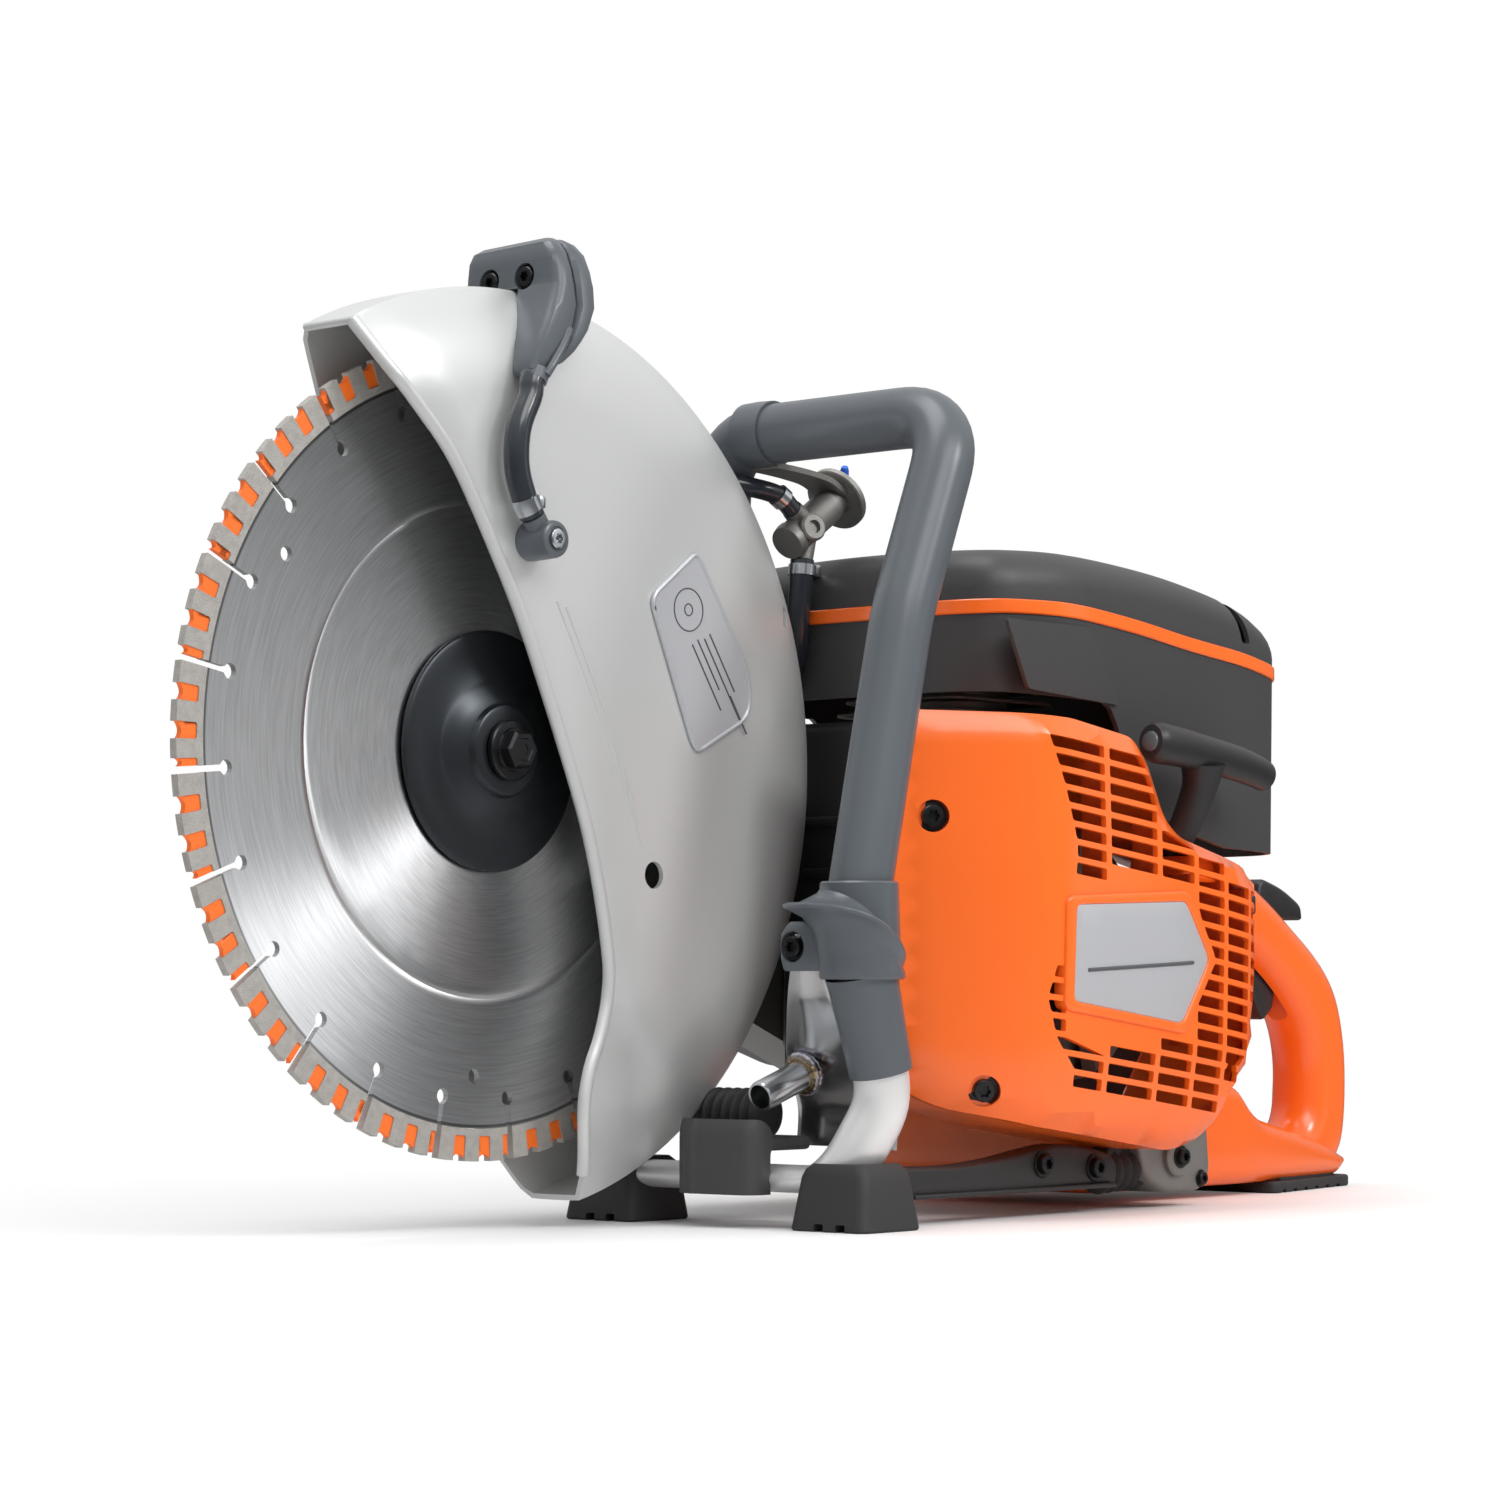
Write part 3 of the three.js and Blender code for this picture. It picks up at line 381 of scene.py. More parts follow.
def swept(path, radius, sides=24, section=None, bore=None):
    """Carries a circle, or a section of (u, w) points, along a path. radius may vary."""
    path = np.asarray(path, float)
    n = len(path)
    radius = np.broadcast_to(np.asarray(radius, float), (n,))
    ring = section
    if ring is None:
        turn = 2 * np.pi * np.arange(sides) / sides
        ring = np.stack([np.cos(turn), np.sin(turn)], 1)
    sides = len(ring)
    tangent = np.gradient(path, axis=0)
    tangent /= np.linalg.norm(tangent, axis=1)[:, None]
    u = np.cross(tangent[0], (0, 0, 1) if abs(tangent[0][2]) < 0.9 else (0, 1, 0))
    points = []
    for i in range(n):
        u = u - (u @ tangent[i]) * tangent[i]
        u /= np.linalg.norm(u)
        w = np.cross(tangent[i], u)
        points.append(path[i] + radius[i] * (ring[:, :1] * u + ring[:, 1:] * w))
    outer = np.vstack(points)
    faces = []
    for i in range(n - 1):
        for k in range(sides):
            m = (k + 1) % sides
            faces.append((i * sides + k, i * sides + m, (i + 1) * sides + m, (i + 1) * sides + k))
    if bore is None:
        faces.append(tuple(range(sides))[::-1])
        faces.append(tuple((n - 1) * sides + k for k in range(sides)))
        return outer, faces
    inner = np.vstack([path[i] + (p - path[i]) * bore / radius[i] for i, p in enumerate(points)])
    total = n * sides
    faces += [tuple(total + k for k in face[::-1]) for face in faces]
    for k in range(sides):
        m = (k + 1) % sides
        faces.append((k, m, total + m, total + k))
        end = (n - 1) * sides
        faces.append((end + m, end + k, total + end + k, total + end + m))
    return np.vstack([outer, inner]), faces


def rounded_box(low, high, radius=1.5, segments=3):
    """A block with its edges rounded, from corner to corner."""
    bm = bmesh.new()
    bmesh.ops.create_cube(bm, size=1)
    size = np.subtract(high, low)
    for v in bm.verts:
        v.co = Vector((np.array(v.co) + 0.5) * size + low)
    bmesh.ops.bevel(
        bm, geom=bm.edges[:], offset=radius, segments=segments, affect="EDGES", profile=0.5
    )
    bm.verts.index_update()
    points = np.array([tuple(v.co) for v in bm.verts])
    faces = [tuple(v.index for v in f.verts) for f in bm.faces]
    bm.free()
    return points, faces


# %% [markdown]
# ## The camera and the studio
# The saw stands on a pale sweep under big soft lights, and the camera crouches low in front of
# the blade, a little under the axle, with a long lens, so the guard looms and the body recedes.
# Polished steel only looks like steel when it has something dark to reflect, so what the lights
# see is a graded room, while the camera sees a plain white one.

# %% Camera
CAMERA_SPOT = (-1219.4, -1208.8, -100.8)
YAW, PITCH = math.radians(-49.05), math.radians(3.39)
camera_data = bpy.data.cameras.new("camera")
camera_data.lens = 96
camera_data.sensor_width = 36
camera = in_scene("camera", camera_data)
camera.location = Vector(placed(CAMERA_SPOT))
look = Vector((-math.sin(YAW) * math.cos(PITCH), math.cos(YAW) * math.cos(PITCH), math.sin(PITCH)))
camera.rotation_euler = look.to_track_quat("-Z", "Y").to_euler()
camera_data.clip_end = 20
bpy.context.scene.camera = camera
print("camera", tuple(round(v, 3) for v in camera.location), "lens", camera_data.lens)


# %% Helpers for nodes
def wire(node, inputs):
    """Gives a node's inputs values, or links them when they are given sockets."""
    for key, value in inputs.items():
        if isinstance(value, bpy.types.NodeSocket):
            node.id_data.links.new(value, node.inputs[key])
        else:
            node.inputs[key].default_value = value


def add_node(tree, kind, inputs=None, **settings):
    made = tree.nodes.new(kind)
    for name, value in settings.items():
        setattr(made, name, value)
    wire(made, inputs or {})
    return made


def math_node(tree, operation, *values):
    return add_node(tree, "ShaderNodeMath", dict(enumerate(values)), operation=operation).outputs[0]


def vector_node(tree, operation, *values, **named):
    """Puts out a number for a length or a distance, and a vector for the rest."""
    inputs = dict(enumerate(values)) | named
    made = add_node(tree, "ShaderNodeVectorMath", inputs, operation=operation)
    return made.outputs["Value" if operation in ("LENGTH", "DISTANCE") else "Vector"]


def map_range(tree, value, source, target, kind="LINEAR"):
    """Carries a value from one range over to another."""
    ends = dict(zip(("From Min", "From Max", "To Min", "To Max"), (*source, *target)))
    made = add_node(tree, "ShaderNodeMapRange", {"Value": value} | ends, interpolation_type=kind)
    return made.outputs["Result"]


def ramp_node(tree, value, stops):
    """A colour ramp with (position, colour) stops."""
    made = add_node(tree, "ShaderNodeValToRGB", {"Fac": value})
    elements = made.color_ramp.elements
    elements.remove(elements[0])
    for k, (where, color) in enumerate(stops):
        stop = elements[0] if k == 0 else elements.new(where)
        stop.position = where
        stop.color = (*color, 1)
    return made.outputs["Color"]


# %% Lights, room and floor
def softbox(name, spot, target, width, height, power):
    data = bpy.data.lights.new(name, "AREA")
    data.shape = "RECTANGLE"
    data.size = width
    data.size_y = height
    data.energy = power
    lamp = in_scene(name, data)
    lamp.location = spot
    lamp.rotation_euler = (Vector(target) - Vector(spot)).to_track_quat("-Z", "Y").to_euler()


CENTRE = (0, 0, 0.2)
softbox("key_softbox", (-0.7, -1.9, 1.9), CENTRE, 1.4, 1.1, 19)
softbox("overhead_softbox", (-0.5, 0.2, 2.2), CENTRE, 1.2, 1.4, 22)
softbox("side_softbox", (1.5, -1.9, 0.7), CENTRE, 0.7, 1.3, 1.5)
softbox("blade_softbox", (0.38, -1.8, 1.35), (-0.2, 0, 0.2), 0.45, 0.45, 12)

room = bpy.data.worlds.new("studio_room")
bpy.context.scene.world = room
room.use_nodes = True
sky = room.node_tree
sky.nodes.clear()
ray_way = add_node(sky, "ShaderNodeTexCoord").outputs["Generated"]
ray_z = add_node(sky, "ShaderNodeSeparateXYZ", {"Vector": ray_way}).outputs["Z"]
grade = ramp_node(sky, map_range(sky, ray_z, (-1, 1), (0, 1)),
                  [(0.0, (0.6, 0.6, 0.6)), (0.52, (0.13, 0.13, 0.135)), (0.8, (1, 1, 1))])
lit = add_node(sky, "ShaderNodeBackground", {"Color": grade, "Strength": 0.85})
seen = add_node(sky, "ShaderNodeBackground", {"Color": (1, 1, 1, 1), "Strength": 1.0})
from_camera = add_node(sky, "ShaderNodeLightPath").outputs["Is Camera Ray"]
mix = add_node(sky, "ShaderNodeMixShader", {0: from_camera, 1: lit.outputs[0], 2: seen.outputs[0]})
add_node(sky, "ShaderNodeOutputWorld", {"Surface": mix.outputs[0]})

FLOOR_Z = cad_low.z
floor_mesh = bpy.data.meshes.new("floor")
FLOOR_HALF = 6.0
corners = [(-1, -1), (1, -1), (1, 1), (-1, 1)]
floor_mesh.from_pydata([(x * FLOOR_HALF, y * FLOOR_HALF, FLOOR_Z) for x, y in corners], [],
                       [(0, 1, 2, 3)])
floor = in_scene("floor", floor_mesh)
bpy.context.scene.view_settings.view_transform = "Standard"
print("floor at", round(FLOOR_Z, 4))

# %% [markdown]
# ## Finishes
# Real surfaces are never one colour. Two effects come back in nearly every finish, so each is a
# node group that is built once: a slow variation of tone and gloss, as handling and moulding
# leave, and a fine grain whose height feeds a Bump node. Groups only put out colours and
# values. The Principled shader itself stays in each material.


# %% Two shared effects
SOCKETS = {"vector": "NodeSocketVector", "number": "NodeSocketFloat", "colour": "NodeSocketColor",
           "count": "NodeSocketInt", "shape": "NodeSocketObject", "finish": "NodeSocketMaterial",
           "geometry": "NodeSocketGeometry"}


def new_group(name, inputs, outputs, tree_kind="ShaderNodeTree"):
    """A node group with named inputs. Returns it with its input sockets and its output node."""
    group = bpy.data.node_groups.new(name, tree_kind)
    for label, kind, value in inputs:
        socket = group.interface.new_socket(label, in_out="INPUT", socket_type=SOCKETS[kind])
        if value is not None:
            socket.default_value = value
    for label, kind in outputs:
        group.interface.new_socket(label, in_out="OUTPUT", socket_type=SOCKETS[kind])
    given, result = group.nodes.new("NodeGroupInput"), group.nodes.new("NodeGroupOutput")
    return group, given.outputs, result


def handling_variation():
    """Slow clouds of tone and gloss over a surface."""
    group, given, result = new_group(
        "handling_variation",
        [("Place", "vector", None), ("Clouds", "number", 18.0),
         ("Tone", "colour", (0.5, 0.5, 0.5, 1)), ("Tone Spread", "number", 0.1),
         ("Gloss", "number", 0.4), ("Gloss Spread", "number", 0.1)],
        [("Color", "colour"), ("Roughness", "number")],
    )
    noise = add_node(group, "ShaderNodeTexNoise",
                     {"Vector": given["Place"], "Scale": given["Clouds"], "Detail": 4})
    centred = math_node(group, "SUBTRACT", noise.outputs["Fac"], 0.5)
    tone_change = math_node(group, "MULTIPLY", centred, given["Tone Spread"])
    gloss_change = math_node(group, "MULTIPLY", centred, given["Gloss Spread"])
    scale = math_node(group, "ADD", tone_change, 1.0)
    wire(result, {"Color": vector_node(group, "SCALE", given["Tone"], Scale=scale),
                  "Roughness": math_node(group, "ADD", gloss_change, given["Gloss"])})
    return group


def fine_grain():
    """The height of a moulded or cast skin: cells for a spark-eroded mould, noise for sand."""
    group, given, result = new_group(
        "fine_grain",
        [("Place", "vector", None), ("Grains", "number", 1500.0), ("Stretch", "vector", (1, 1, 1)),
         ("Cells", "number", 0.5)],
        [("Height", "number")],
    )
    stretched = vector_node(group, "MULTIPLY", given["Place"], given["Stretch"])
    sampled = {"Vector": stretched, "Scale": given["Grains"]}
    noise = add_node(group, "ShaderNodeTexNoise", sampled | {"Detail": 3}).outputs["Fac"]
    cells = add_node(group, "ShaderNodeTexVoronoi", sampled).outputs["Distance"]
    blend = add_node(group, "ShaderNodeMix", {0: given["Cells"], 2: noise, 3: cells})
    wire(result, {"Height": blend.outputs[0]})
    return group


VARIATION = handling_variation()
GRAIN = fine_grain()


def group_node(tree, group, **values):
    inputs = {label.replace("_", " "): value for label, value in values.items()}
    return add_node(tree, "ShaderNodeGroup", inputs, node_tree=group)


def finish(name, color, rough, metal=0.0, spread=0.12, gloss_spread=0.12, clouds=18.0,
           grains=1500.0, depth=0.05, cells=0.5, stretch=(1, 1, 1), coat=0.0, aniso=0.0):
    """A material with varied tone and gloss and a fine grain. Its tone's node is named Varied."""
    material = bpy.data.materials.new(name)
    material.use_nodes = True
    material.diffuse_color = (*color, 1)
    tree = material.node_tree
    shader = tree.nodes["Principled BSDF"]
    place = add_node(tree, "ShaderNodeTexCoord", name="Place").outputs["Object"]
    varied = group_node(tree, VARIATION, Place=place, Clouds=clouds, Tone=(*color, 1),
                        Tone_Spread=spread, Gloss=rough, Gloss_Spread=gloss_spread)
    varied.name = "Varied"
    grain = group_node(tree, GRAIN, Place=place, Grains=grains, Stretch=stretch, Cells=cells)
    height = {"Height": grain.outputs["Height"], "Strength": min(1.0, depth * 8),
              "Distance": depth * MM}
    bump = add_node(tree, "ShaderNodeBump", height, name="Bump")
    wire(shader, {"Base Color": varied.outputs["Color"], "Roughness": varied.outputs["Roughness"],
                  "Normal": bump.outputs["Normal"], "Metallic": metal, "Anisotropic": aniso})
    if coat:
        wire(shader, {"Coat Weight": coat, "Coat Roughness": 0.12})
    return material


# %% The saw's plain finishes
LOOK = {
    "orange_gloss": finish("orange_gloss", (0.95, 0.15, 0.014), 0.24, spread=0.05,
                           gloss_spread=0.06, grains=900, depth=0.012, cells=0.0, coat=0.3),
    # The darker orange below is the housing's orange with painted shade, for recesses and for what
    # stands behind the grille.
    "orange_inside": finish("orange_inside", (0.62, 0.075, 0.012), 0.4, spread=0.1, depth=0.02),
    "charcoal_skin": finish("charcoal_skin", (0.046, 0.046, 0.048), 0.47, spread=0.1,
                            grains=1300, depth=0.05, cells=0.7),
    "black_skin": finish("black_skin", (0.02, 0.02, 0.021), 0.42, grains=1300, depth=0.05),
    "grip_skin": finish("grip_skin", (0.088, 0.1, 0.113), 0.31, spread=0.1, gloss_spread=0.1,
                        grains=1100, depth=0.02, cells=0.6),
    "rubber_skin": finish("rubber_skin", (0.028, 0.028, 0.029), 0.62, spread=0.25, grains=700,
                          depth=0.06, cells=0.2),
    "hose_skin": finish("hose_skin", (0.022, 0.027, 0.034), 0.22, spread=0.1, coat=0.4,
                        grains=300, depth=0.03, cells=0.0),
    "guard_paint": finish("guard_paint", (0.64, 0.65, 0.645), 0.38, metal=0.45, spread=0.03,
                          gloss_spread=0.05, clouds=9, grains=1600, depth=0.012, cells=0.2),
    "flange_black": finish("flange_black", (0.045, 0.05, 0.056), 0.33, metal=0.75, spread=0.15,
                           grains=900, depth=0.02, cells=0.1, aniso=0.4),
    "bolt_black": finish("bolt_black", (0.035, 0.036, 0.038), 0.3, metal=0.85, grains=900,
                         depth=0.02),
    "plated": finish("plated", (0.66, 0.69, 0.72), 0.22, metal=1.0, spread=0.15, grains=400,
                     stretch=(0.3, 3, 3), depth=0.02, cells=0.0),
    "bare_alloy": finish("bare_alloy", (0.86, 0.86, 0.855), 0.4, metal=0.6, spread=0.16,
                         gloss_spread=0.3, clouds=30, grains=260, stretch=(1, 6, 1), depth=0.03,
                         cells=0.0),
    "cast_alloy": finish("cast_alloy", (0.3, 0.295, 0.28), 0.5, metal=0.85, spread=0.3,
                         grains=500, depth=0.12, cells=0.3),
    "sintered": finish("sintered", (0.4, 0.38, 0.355), 0.62, metal=0.35, spread=0.5, clouds=300,
                       grains=1400, depth=0.25, cells=0.6),
    "segment_paint": finish("segment_paint", (0.9, 0.16, 0.015), 0.42, spread=0.1, grains=800,
                            depth=0.03, cells=0.1),
    "label_silver": finish("label_silver", (0.55, 0.56, 0.585), 0.36, metal=0.4, spread=0.03,
                           grains=1800, depth=0.008),
    "label_ink": finish("label_ink", (0.075, 0.08, 0.09), 0.45, spread=0.1, depth=0.01),
    "blue_plastic": finish("blue_plastic", (0.02, 0.12, 0.6), 0.3, spread=0.1, depth=0.01),
    "exhaust_black": finish("exhaust_black", (0.03, 0.03, 0.03), 0.5, metal=0.5, spread=0.4,
                            grains=600, depth=0.08),
}


def floor_finish():
    """Pale floor that turns, with distance from the saw, into the same white as the room.

    Polished parts see it darker, as if black cards lay round the saw."""
    material = finish("floor_look", (0.93, 0.93, 0.93), 0.6, spread=0.01, grains=80, depth=0.01)
    tree = material.node_tree
    shader = tree.nodes["Principled BSDF"]
    away = vector_node(tree, "LENGTH", tree.nodes["Place"].outputs["Object"])
    fade = map_range(tree, away, (0.12, 0.8), (0, 1), "SMOOTHSTEP")
    mirrored = map_range(tree, fade, (0, 1), (0.6, 0.05))
    rays = add_node(tree, "ShaderNodeLightPath").outputs
    wire(shader, {"Base Color": map_range(tree, rays["Is Glossy Ray"], (0, 1), (0.93, mirrored))})
    white = add_node(tree, "ShaderNodeEmission")
    share = math_node(tree, "MULTIPLY", fade, rays["Is Camera Ray"])
    mix = add_node(tree, "ShaderNodeMixShader",
                   {0: share, 1: shader.outputs[0], 2: white.outputs[0]})
    wire(tree.nodes["Material Output"], {"Surface": mix.outputs[0]})
    return material


floor_mesh.materials.append(floor_finish())
print(len(LOOK), "finishes")

# %% [markdown]
# ## Steel that has been ground in circles
# The blade's disc and the flange were ground while they turned, so their scratches run round
# the axle, and light stretches across them into bright and dark wedges. The shader's own
# anisotropy does this with a tangent that goes round the axle's direction. The noise is sampled by
# radius, many times finer than round the circle. A dark line marks the laser weld of the rim.


# %% Blade steel and heat-tinted steel
def polar_place(tree, place):
    """How far a place is from the axle's line in metres, and which way it lies from it."""
    flat = vector_node(tree, "MULTIPLY", vector_node(tree, "SUBTRACT", place, tuple(AXLE)), (1, 0, 1))
    return vector_node(tree, "LENGTH", flat), vector_node(tree, "NORMALIZE", flat)


WELD_R = 160.1


def blade_steel():
    material = finish("blade_steel", (0.66, 0.67, 0.68), 0.42, metal=1.0, spread=0.03, aniso=0.97)
    tree = material.node_tree
    radius, direction = polar_place(tree, tree.nodes["Place"].outputs["Object"])
    small = vector_node(tree, "SCALE", direction, Scale=0.004)
    across = add_node(tree, "ShaderNodeCombineXYZ", {"Y": radius}).outputs[0]
    scratches = add_node(tree, "ShaderNodeTexNoise", {
        "Vector": vector_node(tree, "ADD", small, across), "Scale": 1400, "Detail": 5}).outputs["Fac"]
    wire(tree.nodes["Bump"], {"Height": scratches, "Strength": 0.25, "Distance": 0.02 * MM})
    from_weld = math_node(tree, "ABSOLUTE", math_node(tree, "SUBTRACT", radius, WELD_R * MM))
    dark = map_range(tree, from_weld, (0.0003, 0.001), (0.35, 1), "SMOOTHSTEP")
    lines = map_range(tree, scratches, (0.3, 0.7), (0.8, 1.05))
    tone = math_node(tree, "MULTIPLY", dark, lines)
    color = vector_node(tree, "SCALE", tree.nodes["Varied"].outputs["Color"], Scale=tone)
    tangent = add_node(tree, "ShaderNodeTangent", direction_type="RADIAL", axis="Y")
    wire(tree.nodes["Principled BSDF"], {"Base Color": color, "Tangent": tangent.outputs[0]})
    return material


def heat_tinted(spot):
    """Pickled steel with straw, brown and blue rings round a weld."""
    material = finish("tinted_steel", (0.62, 0.62, 0.62), 0.24, metal=1.0, spread=0.2,
                      gloss_spread=0.25, clouds=40, grains=500, stretch=(1, 1, 4), depth=0.03)
    tree = material.node_tree
    place = tree.nodes["Place"].outputs["Object"]
    gap = vector_node(tree, "DISTANCE", place, tuple(placed(spot)))
    wobble = add_node(tree, "ShaderNodeTexNoise", {"Vector": place, "Scale": 120}).outputs["Fac"]
    pushed = math_node(tree, "MULTIPLY_ADD", wobble, 0.008, gap)
    tint = ramp_node(tree, map_range(tree, pushed, (0, 0.024), (0, 1)),
                     [(0.0, (0.6, 0.55, 0.5)), (0.42, (0.5, 0.4, 0.3)), (0.5, (0.7, 0.5, 0.26)),
                      (0.6, (0.7, 0.7, 0.8)), (0.72, (1, 1, 1))])
    times = add_node(tree, "ShaderNodeMix", data_type="RGBA", blend_type="MULTIPLY")
    wire(times, {0: 1, 6: tree.nodes["Varied"].outputs["Color"], 7: tint})
    wire(tree.nodes["Principled BSDF"], {"Base Color": times.outputs[2]})
    return material


LOOK["blade_steel"] = blade_steel()
STUB_FOOT = (126, -72, -139)
LOOK["tinted_steel"] = heat_tinted(STUB_FOOT)
print("ground steel and tinted steel made")

# %% [markdown]
# ## The blade's disc
# A 350 mm diamond blade is a steel disc with a rim of 24 segments. Narrow slots with round ends
# part the segments, so that the rim can grow when it is hot. The disc has three small holes and
# one pressed ring. It could be cut out of a cylinder, but a relief plate gives a clean flat face
# with the ring pressed in it, and anisotropic steel shows every flaw in a face.

# %% Disc with slots, holes and a pressed ring
SLOTS = 24
SLOT_TURN = 5.0
CORE_R = 161.0
SLOT_END_R = 149.0
DISC_HALF = 1.4
PRESSED_RING_R = 106.0


def turned_about_axle(points, degrees):
    c, s = math.cos(math.radians(degrees)), math.sin(math.radians(degrees))
    return np.asarray(points) @ np.array([[c, s], [-s, c]])


slot_edge = np.vstack([[(CORE_R, -1.3), (SLOT_END_R + 3.1, -1.3)],
                       arc(3.3, -67, -293, 9, (SLOT_END_R, 0)),
                       [(SLOT_END_R + 3.1, 1.3), (CORE_R, 1.3)]])
step = 360 / SLOTS
disc_edge = np.vstack([
    np.vstack([turned_about_axle(slot_edge, SLOT_TURN + step * i),
               arc(CORE_R, SLOT_TURN + step * i + 2, SLOT_TURN + step * (i + 1) - 2, 5)])
    for i in range(SLOTS)
])
bore = arc(12.8, 0, 360, 36)[:-1]
pin_holes = [arc(3.2, 0, 360, 14, 139 * np.array([math.cos(a), math.sin(a)]))[:-1]
             for a in np.radians([27, 147, 267])]
ring_points = [arc(PRESSED_RING_R + k, 0, 360, 120)[:-1] for k in (-2.4, -1.2, 0, 1.2, 2.4)]


def disc_net():
    """The disc's nets, with circles of points where the ring is pressed."""
    inner = net([ring_points[0], bore], 9.0)
    band = [net([ring_points[k + 1], ring_points[k]], 9.0) for k in range(4)]
    outer = net([disc_edge, ring_points[4]] + pin_holes, 7.0, (0.5,))
    return [inner] + band + [outer]


parts = disc_net()
shells = []
for flat, tris, loops, gap in parts:
    radius = np.hypot(flat[:, 0], flat[:, 1])
    press = 0.45 * np.exp(-((radius - PRESSED_RING_R) / 1.1) ** 2)
    for side in (-1, 1):
        points = np.stack([flat[:, 0], side * (DISC_HALF - press), flat[:, 1]], 1)
        shells.append((points, [tuple(t[::-side]) for t in tris]))
for flat, tris, loops, gap in (parts[0], parts[-1]):
    for loop in loops:
        radius = np.hypot(*flat[loop[0]])
        if abs(radius - ring_points[0][0][0]) < 0.2 or abs(radius - ring_points[4][0][0]) < 0.2:
            continue
        wall = np.array([(flat[k][0], side * DISC_HALF, flat[k][1]) for side in (-1, 1) for k in loop])
        m = len(loop)
        shells.append((wall, [(k, (k + 1) % m, m + (k + 1) % m, m + k) for k in range(m)]))
disc = piece("blade_core", shells, LOOK["blade_steel"], "blade", "blade_steel", ["blade_disc"], sharp=20)
print("blade_core", len(disc.data.polygons), "faces")

# %% [markdown]
# ## Geometry Nodes: one segment, set 24 times round the rim
# Each segment is a comb of three grey sintered teeth with the maker's paint in the gaps between
# them, the last gap half as wide. A segment is modelled once at the axle's height and a node
# tree turns copies of it round the axle. The tree has named inputs for the shape, the number of
# copies, the first angle and the finish, so it serves for anything that repeats in a circle.


# %% The ring tree
def put_out(tree, copies, material, result):
    """Makes copies real, gives them their finish and puts them out."""
    real = add_node(tree, "GeometryNodeRealizeInstances", {0: copies.outputs[0]})
    coat = add_node(tree, "GeometryNodeSetMaterial",
                    {"Geometry": real.outputs[0], "Material": material})
    wire(result, {0: coat.outputs[0]})


def ring_tree():
    tree, given, result = new_group(
        "copies_in_a_ring",
        [("Shape", "shape", None), ("Count", "count", 6), ("First Angle", "number", None),
         ("Finish", "finish", None)],
        [("Geometry", "geometry")], "GeometryNodeTree")
    points = add_node(tree, "GeometryNodePoints", {"Count": given["Count"]})
    shape = add_node(tree, "GeometryNodeObjectInfo", {"Object": given["Shape"]})
    index = add_node(tree, "GeometryNodeInputIndex").outputs[0]
    step_angle = math_node(tree, "DIVIDE", 2 * math.pi, given["Count"])
    angle = math_node(tree, "MULTIPLY_ADD", index, step_angle, given["First Angle"])
    turn = add_node(tree, "ShaderNodeCombineXYZ", {"Y": angle})
    copies = add_node(tree, "GeometryNodeInstanceOnPoints", {
        "Points": points.outputs[0], "Instance": shape.outputs["Geometry"],
        "Rotation": turn.outputs[0]})
    put_out(tree, copies, given["Finish"], result)
    return tree


RING = ring_tree()


def evaluated_mesh(made):
    """The plain mesh that an object's modifiers make."""
    bpy.context.view_layer.update()
    graph = bpy.context.evaluated_depsgraph_get()
    return bpy.data.meshes.new_from_object(made.evaluated_get(graph), depsgraph=graph)


def run_tree(holder, tree, sharp, shift=(0, 0, 0), **values):
    """Runs a node tree on an object and leaves the plain mesh it makes, moved by a shift."""
    modifier = holder.modifiers.new("tree", "NODES")
    modifier.node_group = tree
    for item in tree.interface.items_tree:
        label = item.name.replace(" ", "_")
        if item.in_out == "INPUT" and label in values:
            modifier[item.identifier] = values[label]
    mesh = evaluated_mesh(holder)
    holder.modifiers.remove(modifier)
    mesh.transform(Matrix.Translation(Vector(shift)))
    crisp(mesh, sharp)
    holder.data = mesh
    bpy.data.objects.remove(values["Shape"])


def template(name, *shells):
    """A shape at the frame's origin, in metres, for a tree to copy."""
    bm = bmesh.new()
    for points, faces in shells:
        verts = [bm.verts.new(Vector(p) * MM) for p in points]
        for face in faces:
            bm.faces.new([verts[k] for k in face])
    return in_scene(name, merged_mesh(name, bm))


def ring_of(name, shape, count, first, look, body, slot, centre=(0, 0, 0), nodes=(), sharp=30):
    holder = in_scene(name, bpy.data.meshes.new(name))
    run_tree(holder, RING, sharp, placed(centre), Shape=shape, Count=count,
             First_Angle=math.radians(first), Finish=LOOK[look])
    return register(holder, body, slot, nodes)


# %% One segment: a comb of teeth and the paint between them
SEGMENT_HALF = 1.95
BAND_R = 164.2
TEETH = [(0.5, 3.4), (5.7, 8.5), (10.8, 13.4)]
PAINTED = [(3.4, 5.7), (8.5, 10.8), (13.4, 14.5)]


def polar(radius, degrees):
    return np.array([radius * math.cos(math.radians(degrees)), radius * math.sin(math.radians(degrees))])


def segment_comb():
    edge = [polar(CORE_R + 0.1, a) for a in np.linspace(14.5, 0.5, 8)]
    for start, end in TEETH:
        edge += [polar(BLADE_R, a) for a in np.linspace(start, end, 4)]
        if end < 13:
            edge += [polar(BAND_R + 0.6, end), polar(BAND_R, end + 0.25)]
            edge += [polar(BAND_R, end + 2.0), polar(BAND_R + 0.6, end + 2.28)]
    edge += [polar(BAND_R + 0.6, 13.4), polar(BAND_R, 13.6), polar(BAND_R, 14.5)]
    return slab(*net([np.array(edge)], 5.0)[:3], -SEGMENT_HALF, SEGMENT_HALF)


def segment_gaps():
    shells = []
    for start, end in PAINTED:
        turn = np.linspace(start, end, 6)
        share = (turn - start) / (end - start)
        top = [polar(BLADE_R - 1.2 - 1.6 * math.sin(math.pi * s) - 0.6 * s, a)
               for s, a in zip(share, turn)]
        low = [polar(BAND_R - 0.3, a) for a in turn[::-1]]
        shells.append(slab(*net([np.array(top + low)], 3.0)[:3], -1.3, 1.3))
    return shells


